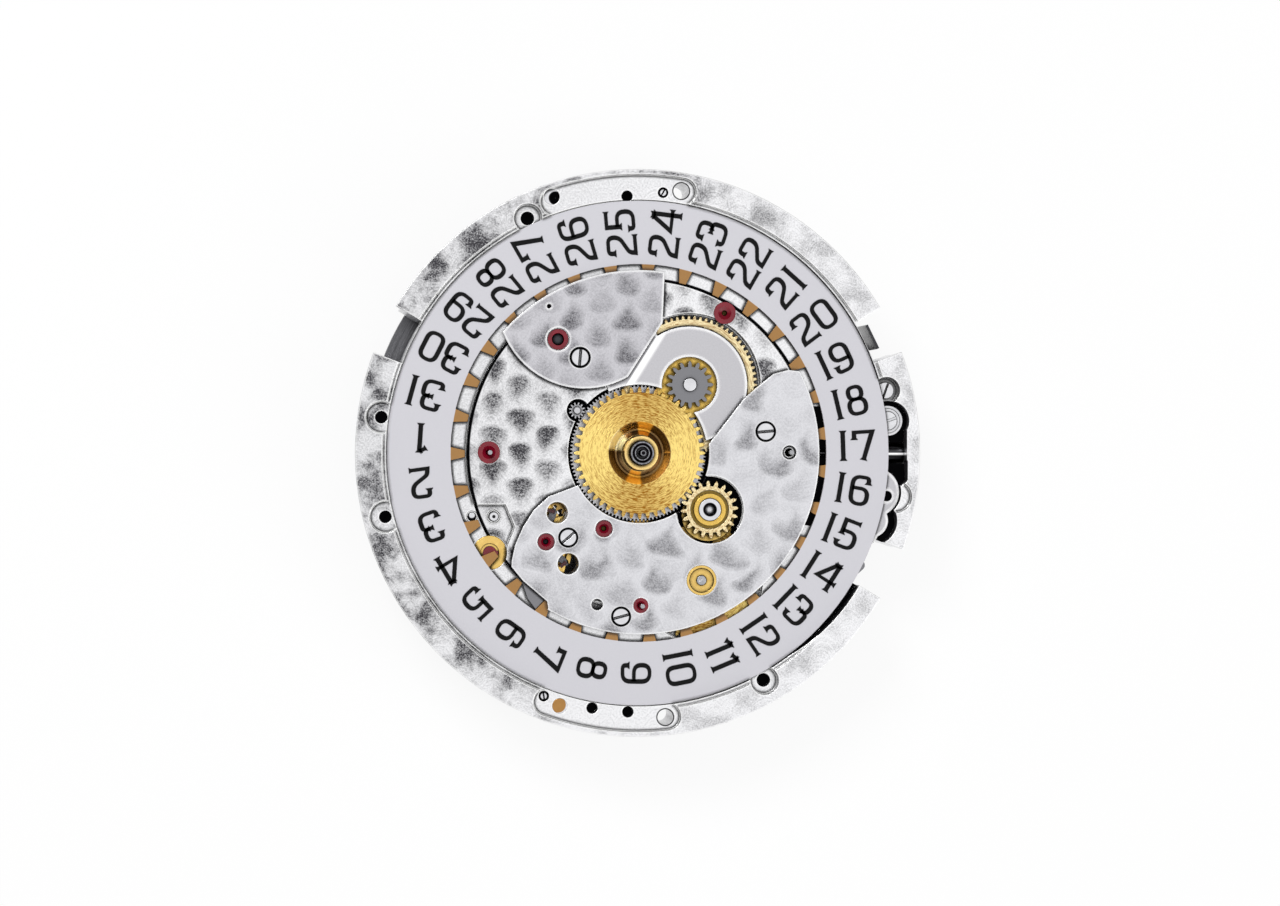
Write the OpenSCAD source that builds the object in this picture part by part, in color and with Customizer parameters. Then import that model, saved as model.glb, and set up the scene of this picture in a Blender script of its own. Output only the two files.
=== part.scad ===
// Automatic chronograph watch movement, seen and set up from its dial side.
// The origin is on the movement's axis, in the plane where the dial rests.
// +Z points to the dial, +X to 3 o'clock and +Y to 12 o'clock, in millimetres.

/* [Main plate] */
// Radius of the plate's flange, half of the movement's diameter
plate_r = 15; // [14.95:0.05:15.3]
// Radius of the plate behind the flange, which goes into the case ring
body_r = 14.75; // [14.7:0.05:14.9]
// Thickness of the flange
flange_t = 0.9; // [0.6:0.05:1.2]
// Thickness of the plate from the dial seat to the train space
floor_t = 1.9; // [1.88:0.01:2.0]
// Inner radius of the rim wall round the train space
wall_r = 13.2; // [13:0.05:13.3]
// Depth of the train space, from the plate to the bridges
train_d = 1.7; // [1.7:0.05:2]
// Depth of the central boss below the dial seat
boss_z = -0.22; // [-0.24:0.01:-0.2]
// Radius of the central boss, inside the date ring's teeth
boss_r = 9.15; // [9:0.05:9.2]
// Floor of the channel under the date ring
channel_z = -0.52; // [-0.55:0.01:-0.5]
// Radius of the dial foot holes
foot_hole_r = 0.42; // [0.35:0.01:0.45]
// Distance of the dial foot holes from the centre
foot_at_r = 14.05; // [14:0.01:14.1]

/* [Date ring] */
// Outer radius of the date ring
ring_r = 13.35; // [13.2:0.01:13.36]
// Inner radius of the printed band
ring_in_r = 10; // [9.9:0.01:10.1]
// Radius at the tips of the ring's teeth
ring_tip_r = 9.25; // [9.22:0.01:9.3]
// Upper face of the date ring
ring_z = -0.27; // [-0.28:0.01:-0.26]
// Thickness of the date ring
ring_t = 0.2; // [0.15:0.01:0.22]
// Number of days on the ring
ring_days = 31; // [31]

/* [Dial side] */
// Upper face of the two plates that hold the date ring down
keeper_z = -0.04; // [-0.06:0.01:-0.02]
// Upper face of the hour wheel and of the wheels beside it
hour_z = -0.15; // [-0.16:0.01:-0.14]
// Thickness of the hour wheel
hour_t = 0.3; // [0.25:0.01:0.32]
// Centre of the minute wheel
minute_at = [2.677, 3.617];
// Height of the hour pipe above the dial seat
hour_pipe_h = 0.75; // [0.6:0.05:0.9]
// Height of the cannon pinion above the dial seat
cannon_h = 1.25; // [1.1:0.05:1.4]
// Height of the central seconds arbor above the dial seat
seconds_h = 1.75; // [1.6:0.05:1.9]
// Height of the three small hand arbors above the dial seat
counter_h = 0.9; // [0.7:0.05:1]

/* [Hand arbors] */
// Radius of the central seconds arbor
seconds_arbor_r = 0.15; // [0.12:0.01:0.15]
// Outer radius of the centre wheel's tube
centre_tube_r = 0.31; // [0.3:0.01:0.32]
// Outer radius of the cannon pinion's pipe
cannon_r = 0.62; // [0.55:0.01:0.62]
// Outer radius of the hour pipe
hour_pipe_r = 0.9; // [0.85:0.01:0.92]
// Radius of the small seconds and counter arbors
arbor_r = 0.12; // [0.1:0.01:0.13]
// Radial running clearance of wheels on studs and arbors in jewels
fit = 0.03; // [0.02:0.005:0.04]

/* [Going train] */
// Axis of the barrel
barrel_at = [-4.33, 6.0];
// Axis of the third wheel
third_at = [4.2, -1.6];
// Axis of the fourth wheel
fourth_at = [1.2, -4.1];
// Axis of the escape wheel
escape_at = [-1.9, -3.99];
// Axis of the pallet fork
pallet_at = [-4.97, -4.68];
// Axis of the balance
balance_at = [-7.92, -5.26];
// Axis of the small seconds
seconds_at = [-7.98, 0.03];
// How far the seconds idler stands off the straight line between its wheels
idler_off = 1.2; // [1.1:0.05:1.3]
// Outer radius of the balance rim
balance_r = 4.3; // [4:0.05:4.35]
// Radius of the escape wheel at its teeth
escape_r = 2.6; // [2.55:0.01:2.62]
// Radius of the barrel arbor's pivots
barrel_arbor_r = 0.28; // [0.25:0.01:0.3]

/* [Bridges and winding] */
// Thickness of the barrel, train and balance bridges
bridge_t = 0.6; // [0.5:0.05:0.6]
// Height of the space for the winding wheels and chronograph levers
chrono_d = 0.65; // [0.65:0.01:0.7]
// Thickness of the chronograph bridge
chrono_bridge_t = 0.25; // [0.2:0.01:0.26]
// Thickness of the winding bridge
winding_bridge_t = 0.25; // [0.2:0.01:0.26]
// Outer radius of the rotor
rotor_r = 14.3; // [14:0.05:14.4]
// Thickness of the whole movement behind the dial seat
movement_t = 6.5; // [6.5:0.01:6.6]
// Radius of the winding stem
stem_r = 0.5; // [0.45:0.01:0.52]
// Height of the stem's axis
stem_z = -1.45; // [-1.46:0.01:-1.44]

/* [Hidden] */
$fn = 72;
// A cut reaches this far past the face that it opens
past = 0.2;

// Colours as the photograph shows them
steel = "silver";
plated = "gainsboro";
brass = "goldenrod";
gold = "gold";
ruby = "crimson";
dark = "dimgray";

// Levels behind the dial seat
floor_z = -floor_t;
bridge_z = floor_z - train_d;
bridge_back_z = bridge_z - bridge_t;
chrono_bridge_z = bridge_back_z - chrono_d;
winding_bridge_z = chrono_bridge_z - chrono_bridge_t - 0.05;
winding_back_z = winding_bridge_z - winding_bridge_t;
// Radius of the plate's spigot that the hour counter's drive wheel turns on
spigot_r = 0.45;
// Floors of the pockets on the dial side
low_pocket_z = -1.25;
mid_pocket_z = -0.95;
minute_pocket_z = -0.85;
cover_z = -0.35;
cover_t = 0.2;
jumper_floor_z = -0.5;
// Wheels that lie in the two deeper layers of the dial side
date_layer_z = -0.70;
counter_layer_z = -0.95;
thin_wheel_t = 0.18;
// Ceiling of the pockets that the seconds train runs in
seconds_pocket_z = floor_z + 0.35;

// Tooth counts of the hand setting and date work
hour_teeth = 48;
minute_pinion_teeth = 16;
minute_teeth = 72;
cannon_teeth = 18;
date_inter_teeth = 20;
date_pinion_teeth = 10;
date_teeth = 48;
// Tooth counts of the hour counter work
drive_teeth = 112;
drive_pinion_teeth = 12;
counter_idler_teeth = 58;
counter_teeth = 24;
// Tooth counts of the going train
barrel_teeth = 80;
centre_pinion_teeth = 10;
centre_teeth = 80;
third_pinion_teeth = 10;
third_teeth = 72;
fourth_pinion_teeth = 8;
fourth_teeth = 80;
escape_pinion_teeth = 8;
escape_teeth = 20;
seconds_teeth = 50;
seconds_idler_teeth = 45;
// Tooth counts of the winding wheels
ratchet_teeth = 68;
inter_winding_teeth = 44;
crown_teeth = 36;
rotor_pinion_teeth = 32;
reversing_teeth = 52;

// Places that follow from the gears
date_pinion_at_r = 4.78125;
date_inter_at = polar(date_pinion_at_r, -38.8);
date_wheel_at = [3.28, -6.74];
drive_r = 3.584;
drive_pinion_at = polar(gap2(drive_r, drive_teeth, drive_pinion_teeth), 145.4);
counter_idler_at = polar(gap2(drive_r, drive_teeth, counter_idler_teeth), -88.58);
hour_counter_at = [0.05, -8.06];
minute_counter_at = [7.98, 0.03];
inter_winding_at = [4.54, 7.42];
crown_at = [9.4, 3.235];
reversing_at = polar(4.2, 31.7);
seconds_idler_at = (fourth_at + seconds_at) / 2 + idler_off * side(fourth_at, seconds_at);
column_at = [10.3, -5.2];
disc_at = [3.68, -3.27];
disc_r = 1.4;

// A point at radius r and angle a
function polar(r, a) = [r * cos(a), r * sin(a)];
// The direction from point p to point q
function dir(p, q) = atan2(q.y - p.y, q.x - p.x);
// The unit vector to the right of the way from p to q
function side(p, q) = let (v = q - p) [v.y, -v.x] / norm(v);
// The module of two meshing wheels at p and q
function pitch(p, q, za, zb) = 2 * norm(q - p) / (za + zb);
// The centre distance of a wheel of pitch radius r and its mate
function gap2(r, za, zb) = r * (za + zb) / za;
// The angle that brings wheel b into mesh with wheel a, which is turned by pa
function mesh(p, q, za, pa, zb) = let (d = dir(p, q))
    d + 180 + 180 / zb + (d - pa) * za / zb;

// Modules of the gear pairs
hour_m = 2 * norm(minute_at) / (hour_teeth + minute_pinion_teeth);
cannon_m = 2 * norm(minute_at) / (minute_teeth + cannon_teeth);
date_m = pitch(date_inter_at, date_wheel_at, date_pinion_teeth, date_teeth);
drive_m = 2 * drive_r / drive_teeth;
counter_m = pitch(counter_idler_at, hour_counter_at, counter_idler_teeth, counter_teeth);
barrel_m = pitch(barrel_at, [0, 0], barrel_teeth, centre_pinion_teeth);
centre_m = pitch([0, 0], third_at, centre_teeth, third_pinion_teeth);
third_m = pitch(third_at, fourth_at, third_teeth, fourth_pinion_teeth);
fourth_m = pitch(fourth_at, escape_at, fourth_teeth, escape_pinion_teeth);
seconds_m = pitch(fourth_at, seconds_idler_at, seconds_teeth, seconds_idler_teeth);
winding_m = pitch(barrel_at, inter_winding_at, ratchet_teeth, inter_winding_teeth);
rotor_m = pitch([0, 0], reversing_at, rotor_pinion_teeth, reversing_teeth);

// A toothed disc with ogival teeth, one of them centred on angle ph
module gear(z, m, ph = 0) {
    r = z * m / 2;
    q = 90 / z;
    tooth = [
        [r - 1.2 * m, -1.05 * q], [r, -0.86 * q], [r + 0.45 * m, -0.56 * q],
        [r + 0.9 * m, -0.16 * q], [r + 0.9 * m, 0.16 * q], [r + 0.45 * m, 0.56 * q],
        [r, 0.86 * q], [r - 1.2 * m, 1.05 * q]
    ];
    polygon([for (i = [0:z - 1], t = tooth) polar(t[0], ph + i * 360 / z + t[1])]);
}

// The openings between the arms of a wheel
module crossings(rim, hub, arms, w, turn = 0) {
    difference() {
        circle(rim);
        circle(hub);
        for (i = [0:arms - 1])
            rotate(turn + i * 360 / arms)
                translate([0, -w / 2])
                    square([rim + 1, w]);
    }
}

// A layer between two heights, z1 above z0
module layer(z0, z1) {
    translate([0, 0, z0])
        linear_extrude(z1 - z0)
            children();
}

// A round rod or disc at point p between two heights
module rod(p, r, z0, z1) {
    translate([p.x, p.y, z0])
        cylinder(r = r, h = z1 - z0);
}

// A rod along the stem's axis from x0 to x1
module x_rod(r, x0, x1) {
    translate([x0, 0, stem_z])
        rotate([0, 90, 0])
            cylinder(r = r, h = x1 - x0);
}

// A wheel at p: toothed rim, arms and hub
module wheel(p, z, m, z0, t, ph = 0, hub = 0.5, arms = 4, w = 0.35, rim_w = 0.45) {
    r = z * m / 2;
    translate([p.x, p.y, 0])
        layer(z0, z0 + t)
            difference() {
                gear(z, m, ph);
                crossings(r - rim_w, hub, arms, w, ph);
            }
}

// A pinion at p, which is a toothed disc without arms
module pinion(p, z, m, z0, z1, ph = 0) {
    translate([p.x, p.y, 0])
        layer(z0, z1)
            gear(z, m, ph);
}

// A bar with round ends from p to q
module bar(p, q, w) {
    for (e = [p, q])
        translate(e)
            circle(w / 2);
    translate(p)
        rotate(dir(p, q))
            translate([0, -w / 2])
                square([norm(q - p), w]);
}

// A sector between two radii and two angles under 180 degrees apart
module sector(r0, r1, a0, a1) {
    far = r1 / cos((a1 - a0) / 2) + 1;
    intersection() {
        difference() {
            circle(r1);
            circle(r0);
        }
        polygon([[0, 0], polar(far, a0), polar(far, (a0 + a1) / 2), polar(far, a1)]);
    }
}

// A slotted screw with its head's top at height z
module screw(p, r, z, h, shank_r, shank_to, turn) {
    difference() {
        union() {
            rod(p, r, z - h, z);
            rod(p, shank_r, shank_to, z - h);
        }
        translate([p.x, p.y, z])
            rotate(turn)
                cube([3 * r, r * 0.3, h * 0.9], center = true);
    }
}

// A bearing jewel with its oil sink towards the dial when up is true
module jewel(p, r, z0, z1, hole, up = true) {
    sink = min(0.6 * r, hole + 0.2);
    difference() {
        rod(p, r, z0, z1);
        rod(p, hole, z0 - past, z1 + past);
        if (up)
            translate([p.x, p.y, z1 - (z1 - z0) * 0.35])
                cylinder(r1 = hole, r2 = sink, h = (z1 - z0) * 0.35 + 0.001);
    }
}

// Screws on the dial side: place, head radius, slot angle
keeper_screws = [[[-3.17, 5.04], 0.5, 85]];
calendar_screws = [
    [[6.71, 1.14], 0.5, 5], [[-3.80, -4.46], 0.48, 40], [[-1.00, -8.64], 0.48, 15]
];
screw_shank_r = 0.25;
screw_to_z = -0.8;
// Jewels set in the plate and seen from the dial side: place, radius, hole
plate_jewels = [
    [barrel_at, 0.55, barrel_arbor_r + fit], [inter_winding_at, 0.58, arbor_r + fit],
    [seconds_at, 0.58, arbor_r + fit], [pallet_at, 0.44, arbor_r + fit],
    [escape_at, 0.44, arbor_r + fit]
];
jewel_t = 0.35;
// Places of the two dial feet
foot_a = polar(foot_at_r, 80.9);
foot_b = polar(foot_at_r, -84.4);
// Screws that clamp the dial feet
clamp_screws = [[polar(13.84, 84.8), 60], [polar(13.79, 248.4), 100]];
clamp_r = 0.28;
rim_pocket_z = -0.25;
rim_stud_at = [13.2, 3.33];
rim_pocket_at_r = 14.02;
rim_pocket_w = 0.72;
// Ledge between the date ring and the rim
ledge_r = 13.6;
ledge_z = -0.12;
// Slot beside the ring at 4 o'clock: a circle off the centre
slot_r = 10;
slot_off = 3.68;
slot_a = -34;
// Screws in the crescent pockets at the left of the rim
rim_screws = [[-13.63, 1.88], [-13.42, -3.35]];
rim_screw_r = 0.33;
rim_pocket_r = 0.84;
// Notches through the rim, from one angle to the other
notches = [[149, 159.4], [21, 31], [329, 340]];
notch_r = 13.42;
// Holes that show the pallet stones
sight_holes = [[-4.38, -3.14], [-3.80, -5.84]];
sight_r = 0.56;
// Radius and foot of the studs that are pressed into the plate
stud_r = 0.2;
stud_to_z = -1.5;
// Pins in the low corner of the boss: place, radius, height of the top
corner_pins = [[[-8.85, -3.35], 0.22, -0.54], [[-7.71, -3.35], 0.26, -0.3]];
// Pillars that the bridges stand on inside the rim wall
pillars = [[4.2, 4.9], [7.6, -6.4], [-1.5, -8.2]];
pillar_r = 0.8;
// Screws of the lower bridges: place and slot angle
bridge_screw_list = [
    [[4.2, 4.9], 20], [[7.6, -6.4], 75], [[-1.5, -8.2], 130],
    [polar(13.75, 100), 10], [polar(13.75, 175), 70], [polar(13.75, 12), 45],
    [polar(13.75, -50), 100], [polar(13.7, 247), 30]
];
bridge_screw_r = 0.55;
// Setting lever's screw, which the lever turns on
lever_at = [13.36, 1.72];
lever_screw_r = 0.8;
lever_shank_r = 0.3;
lever_z = -0.68;
lever_t = 0.2;
// Stem and winding pinion along X
stem_in_x = 8.7;
stem_step_x = 11.4;
stem_end_x = 14.3;
stem_pilot_r = 0.3;
pinion_x = 9.7;
pinion_w = 1.2;
pinion_r = 0.85;
groove_x = 12.91;
groove_w = 0.5;
groove_r = 0.28;
// Height of the setting lever cover's upper face, under the date ring
lever_cover_z = -0.55;
lever_cover_t = 0.2;

// Outline of the two left lobes and the tail of the setting lever's cover
module lever_cover_outline(grow = 0, low_grow = 0) {
    translate([12.68, -2.09])
        circle(1.30 + grow);
    translate([12.45, -3.6])
        circle(0.92 + low_grow);
    translate([12.1, -4.2])
        circle(0.75 + low_grow);
}

// Outline of the cover over the minute wheel
module minute_cover_outline(grow = 0) {
    difference() {
        union() {
            translate(minute_at)
                circle(3.09 + grow);
            polygon([
                [1.06, 6.1 + grow], [0.55, 6.8 + grow], [-1.6 - grow, 6.2 + grow],
                [-2.3 - grow, 4.9], [-1.6 - grow, 3.2], [0.4, 2.4]
            ]);
        }
        circle(3.62 - grow);
        translate([3.54, 0.29])
            rotate(dir([3.54, 0.29], [5.55, 2.88]))
                translate([-2, -3 - 0.28 - grow])
                    square([8, 3]);
    }
}

// Outline of the plate that covers the upper left of the boss
module keeper_outline() {
    intersection() {
        circle(9.67);
        difference() {
            translate([-2.95, 8.0])
                circle(4.6);
            polygon([[1.32, 12], [1.32, 9.5], [1.21, 6.9], [-0.79, 3.78], [-1.5, 2], [4, 2], [4, 12]]);
        }
    }
}

// Outline of the bridge over the date and hour counter work
module calendar_outline() {
    difference() {
        intersection() {
            circle(9.59);
            polygon([
                [3.54, 0.29], [5.55, 2.88], [6.34, 3.57], [7.13, 4.20], [7.92, 4.41],
                [8.77, 4.31], [10.5, 4.2], [11.5, -6], [5, -11.5], [-5.6, -10.6],
                [-4.86, -8.16], [-4.91, -7.82], [-6.18, -6.74], [-6.79, -6.0],
                [-6.79, -5.70], [-6.61, -4.85], [-6.18, -3.88], [-5.64, -3.03],
                [-4.85, -2.30], [-3.28, -1.70], [0, 0]
            ]);
        }
        circle(3.7);
        translate(date_inter_at)
            circle(1.8);
    }
}

// The lower corner of the boss, where the balance is set
module balance_corner() {
    polygon([
        [-10, -2.7], [-7.1, -2.7], [-6.6, -3.9], [-7.0, -4.9], [-7.2, -5.9],
        [-6.5, -6.95], [-5.3, -8.1], [-5.3, -10], [-10, -10]
    ]);
}

// The pockets that the dial side is milled with
module dial_side_pockets() {
    rod([0, 0], 3.8, low_pocket_z, past);
    rod(drive_pinion_at, 0.6, low_pocket_z, past);
    rod(minute_at, 3.79, minute_pocket_z, past);
    layer(cover_z - cover_t, past)
        minute_cover_outline(0.04);
    rod(date_inter_at, 1.75, -0.5, past);
    rod(date_inter_at, 0.85, mid_pocket_z, past);
    rod(disc_at, disc_r + 0.02, -0.6, past);
    rod(date_wheel_at, 3.35, mid_pocket_z, past);
    rod(counter_idler_at, 1.96, low_pocket_z, past);
    rod(hour_counter_at, 0.89, low_pocket_z, past);
    layer(-0.6, past)
        intersection() {
            circle(boss_r + 0.01);
            balance_corner();
        }
    layer(jumper_floor_z, past)
        sector(8.2, boss_r + 0.01, 227, 260.5);
}

// The keyless work's pockets at 3 o'clock
module keyless_pockets() {
    rod(rim_stud_at, 0.72, -0.7, past);
    rod(lever_at, 1.06, lever_z - lever_t - 0.04, past);
    layer(lever_z - lever_t - 0.04, past)
        translate([12.5, -stem_r - 0.06])
            square([1.8, 2.1]);
    layer(lever_cover_z - lever_cover_t, past)
        lever_cover_outline(0.06, 0.4);
    layer(-0.9, past)
        difference() {
            lever_cover_outline(0.06, 0.4);
            lever_cover_outline(-0.1, -0.1);
        }
    rod([13.72, -2.33], 0.85, -0.3, past);
    layer(-0.95, past)
        polygon([[12.5, -0.4], [14.34, -0.4], [14.34, -1.45], [14.05, -1.75], [12.5, -1.2]]);
    x_rod(stem_pilot_r + fit, stem_in_x - 0.1, stem_step_x);
    x_rod(stem_r + fit, stem_step_x - 0.2, plate_r + 1);
    x_rod(pinion_r + 0.1, pinion_x - 0.1, pinion_x + pinion_w + 0.1);
    layer(floor_z - past, stem_z)
        translate([pinion_x - 0.1, -pinion_r - 0.1])
            square([pinion_w + 0.2, 2 * pinion_r + 0.2]);
    layer(stem_z, past)
        translate([12.5, -stem_r - 0.06])
            square([1.8, 2 * stem_r + 0.12]);
}

// Pocket in the rim with round ends at the angles a0 and a1
module rim_pocket(a0, a1) {
    layer(rim_pocket_z, past)
        union() {
            sector(rim_pocket_at_r - rim_pocket_w, rim_pocket_at_r + rim_pocket_w, a0, a1);
            for (a = [a0, a1])
                translate(polar(rim_pocket_at_r, a))
                    circle(rim_pocket_w);
        }
}

module main_plate() {
    color(plated)
        difference() {
            union() {
                rod([0, 0], plate_r, -flange_t, 0);
                rod([0, 0], body_r, floor_z, -flange_t);
                difference() {
                    rod([0, 0], body_r, bridge_z, floor_z);
                    rod([0, 0], wall_r, bridge_z - past, floor_z);
                    rod(balance_at, balance_r + 0.3, bridge_z - past, floor_z);
                    rod(barrel_at, 6.95, bridge_z - past, floor_z);
                }
                for (p = pillars)
                    rod(p, pillar_r, bridge_z, floor_z);
            }
            layer(channel_z, past)
                difference() {
                    circle(ring_r + 0.05);
                    circle(boss_r);
                }
            rod([0, 0], boss_r + 0.01, boss_z, past);
            difference() {
                dial_side_pockets();
                rod([0, 0], spigot_r, low_pocket_z - past, -0.9);
            }
            keyless_pockets();
            for (n = notches)
                layer(bridge_z - past, past)
                    sector(notch_r, 17, n[0], n[1]);
            layer(ledge_z, past)
                circle(ledge_r);
            layer(-1.3, past)
                intersection() {
                    translate(polar(slot_off, slot_a))
                        circle(slot_r);
                    sector(ring_r - 0.1, plate_r, -55, -20);
                }
            rim_pocket(80.6, 109);
            rim_pocket(249.4, 276);
            // The seconds train runs in pockets under the floor
            for (p = [[fourth_at, seconds_teeth], [seconds_idler_at, seconds_idler_teeth],
                      [seconds_at, seconds_teeth]])
                rod(p[0], p[1] * seconds_m / 2 + seconds_m + 0.06, floor_z - past, seconds_pocket_z);
            // Bores
            for (p = [foot_a, foot_b])
                rod(p, foot_hole_r, bridge_z - past, past);
            for (s = concat(keeper_screws, calendar_screws))
                rod(s[0], screw_shank_r, screw_to_z, past);
            for (s = clamp_screws)
                rod(s[0], clamp_r, -0.9, past);
            for (s = bridge_screw_list)
                rod(s[0], screw_shank_r, bridge_z - past, bridge_z + 1.2);
            for (p = rim_screws) {
                rod(p, rim_pocket_r, -0.2, past);
                rod(p, rim_screw_r, -1.4, past);
            }
            for (j = plate_jewels) {
                rod(j[0], j[1], boss_z - jewel_t, past);
                rod(j[0], j[2] + 0.05, floor_z - past, past);
            }
            for (p = sight_holes)
                rod(p, sight_r, floor_z - past, past);
            rod(pallet_foot, screw_shank_r, floor_z - past, floor_z + 0.5);
            for (h = [
                [[0, 0], centre_tube_r + fit, past], [third_at, arbor_r + fit, -1.5],
                [fourth_at, arbor_r + fit, -1.35], [minute_counter_at, arbor_r + 0.1, past],
                [crown_at, 0.3 + fit, -1.5], [balance_at, 0.9, past]
            ])
                rod(h[0], h[1], floor_z - past, h[2]);
            rod(hour_counter_at, arbor_r + fit, -1.6, past);
            rod(date_wheel_at, 0.25 + fit, -1.4, past);
            for (p = [minute_at, date_inter_at, counter_idler_at, drive_pinion_at])
                rod(p, stud_r, stud_to_z, past);
            rod(seconds_idler_at, stud_r, floor_z - past, low_pocket_z + past);
            rod(lever_at, lever_shank_r, -1.6, past);
            rod(rim_stud_at, 0.3, -1.2, past);
            for (p = corner_pins) {
                rod(p[0], p[1], -1, past);
                rod(p[0], p[1] + 0.09, -0.72, past);
            }
            // Plugged and open holes in the rim
            rod(polar(14.3, 109), 0.42, -0.8, past);
            rod(polar(14.0, 252.4), 0.4, -0.8, past);
            for (p = [polar(13.6, 92.8), polar(13.7, 259.4), polar(13.7, 267.4)])
                rod(p, 0.3, -1.2, past);
            for (p = [[-5.92, 12.39], [6.66, -12.07]]) {
                rod(p, 0.75, -0.6, past);
                rod(p, 0.36, -1.4, past);
            }
        }
}

// Holes for the dial side screws in a plate on the boss
module dial_screw_holes(list) {
    for (s = list) {
        rod(s[0], s[1] + fit, boss_z + 0.02, past);
        rod(s[0], screw_shank_r, boss_z - past, past);
    }
}

module date_keeper_plate() {
    color(plated)
        difference() {
            layer(boss_z, keeper_z)
                keeper_outline();
            dial_screw_holes(keeper_screws);
            rod(barrel_at, 0.6, boss_z - past, past);
            rod([-4.81, 7.74], 0.12, boss_z - past, past);
        }
}

module calendar_bridge() {
    color(plated)
        difference() {
            layer(boss_z, keeper_z)
                calendar_outline();
            dial_screw_holes(calendar_screws);
            for (p = sight_holes)
                rod(p, sight_r, boss_z - past, past);
            for (p = [pallet_at, escape_at])
                rod(p, 0.46, boss_z - past, past);
            rod(hour_counter_at, 0.4, boss_z - past, past);
            rod(minute_counter_at, 0.37, boss_z - past, past);
            rod([-2.27, -8.0], 0.3, boss_z - past, past);
            rod(date_wheel_at, 0.79, boss_z - past, past);
        }
}

module minute_work_cover() {
    color(steel)
        difference() {
            layer(cover_z - cover_t, cover_z)
                minute_cover_outline();
            rod(minute_at, 1.48, cover_z - 1, past);
        }
}

module setting_lever_cover() {
    color(steel)
        difference() {
            layer(lever_cover_z - lever_cover_t, lever_cover_z)
                lever_cover_outline();
            rod([13.3, -2.3], 0.28, lever_cover_z - 1, past);
        }
}

module date_wheel_bush() {
    color(gold)
        difference() {
            rod(date_wheel_at, 0.79, boss_z, keeper_z + 0.02);
            rod(date_wheel_at, 0.66, keeper_z - 0.05, past);
            rod(date_wheel_at, 0.27, boss_z - past, past);
        }
}

// Gold rings in the plate and the cock that hold the balance pivots
module shock_settings() {
    color(gold) {
        difference() {
            rod(balance_at, 0.9, -1.5, -0.5);
            rod(balance_at, 0.5, -0.75, past);
            rod(balance_at, staff_pivot_r + fit, -1.5 - past, past);
        }
        // Spring clip over the cap jewel
        translate([balance_at.x, balance_at.y, 0])
            layer(-0.59, -0.53)
                difference() {
                    circle(0.52);
                    circle(0.36);
                    sector(0, 0.6, -15, 15);
                }
        difference() {
            rod(balance_at, 0.9, bridge_back_z, bridge_z);
            rod(balance_at, 0.5, bridge_back_z - past, bridge_back_z + 0.25);
            rod(balance_at, staff_pivot_r + fit, bridge_back_z - past, bridge_z + past);
        }
    }
}

module minute_wheel_stud() {
    color(steel) {
        rod(minute_at, 0.34, minute_pocket_z, -0.1);
        rod(minute_at, stud_r, stud_to_z, minute_pocket_z);
    }
}

// Shouldered screw that the date intermediate wheel turns on
module intermediate_stud() {
    color(steel)
        difference() {
            union() {
                rod(date_inter_at, 0.58, -0.28, 0.02);
                rod(date_inter_at, 0.32, mid_pocket_z, -0.28);
                rod(date_inter_at, stud_r, stud_to_z, mid_pocket_z);
            }
            rod(date_inter_at, 0.29, -0.2, past);
        }
}

module bearing_disc() {
    color(gold)
        difference() {
            rod(disc_at, disc_r, -0.6, -0.52);
            rod(date_inter_at, 0.85, -1, past);
            rod([0, 0], 3.7, -1, past);
        }
}

module dial_side_screws() {
    color(steel) {
        for (c = concat(keeper_screws, calendar_screws))
            screw(c[0], c[1], keeper_z + 0.02, 0.18, screw_shank_r, screw_to_z, c[2]);
        screw(lever_at, 0.6 * lever_screw_r, lever_cover_z, 0.04, lever_shank_r, -1.6, 20);
        for (k = [0, 1])
            rod(lever_at, lever_screw_r * (1 - 0.2 * k), lever_z + 0.02, lever_z + 0.06 + 0.03 * k);
        screw(rim_stud_at, 0.42, -0.35, 0.2, 0.3, -1.2, 70);
        for (p = rim_screws)
            screw(p, rim_screw_r, -1.0, 0.3, rim_screw_r, -1.4, 50);
        for (c = clamp_screws)
            screw(c[0], clamp_r, rim_pocket_z, 0.3, clamp_r, -0.9, c[1]);
    }
}

module dial_side_jewels() {
    color(ruby) {
        for (j = plate_jewels)
            jewel(j[0], j[1], boss_z - jewel_t, boss_z + 0.06, j[2]);
        jewel(hour_counter_at, 0.4, boss_z, keeper_z, arbor_r + fit);
        rod(balance_at, 0.46, -0.75, -0.6);
    }
}

// Plugs in the rim, pins in the low corner and the studs of two idlers
module plate_pins() {
    color(steel) {
        rod(polar(14.3, 109), 0.42, -0.8, rim_pocket_z);
        for (p = corner_pins)
            rod(p[0], p[1], -1, p[2]);
        rod(counter_idler_at, stud_r, stud_to_z, -0.9);
        rod(seconds_idler_at, stud_r, seconds_wheel_z - 0.04, low_pocket_z);
        rod(seconds_idler_at, 0.45, floor_z, seconds_wheel_z - 0.04);
    }
    color(gold)
        rod(polar(14.0, 252.4), 0.4, -0.8, rim_pocket_z);
}

// A thin sprung arm with a beak that drops between two teeth of the ring
module date_jumper() {
    beak_a = 6 + 20 * 360 / ring_days;
    color(steel) {
        layer(-0.45, -0.29)
            union() {
                sector(8.57, 8.75, 229, 258);
                polygon([
                    polar(8.6, beak_a - 9), polar(9.26, beak_a - 10.1),
                    polar(9.69, beak_a - 6), polar(9.9, beak_a - 2.1),
                    polar(9.25, beak_a - 1.35), polar(8.6, beak_a - 1.5)
                ]);
            }
        layer(jumper_floor_z, boss_z)
            sector(8.3, 9.0, 256.5, 260);
    }
}

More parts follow.
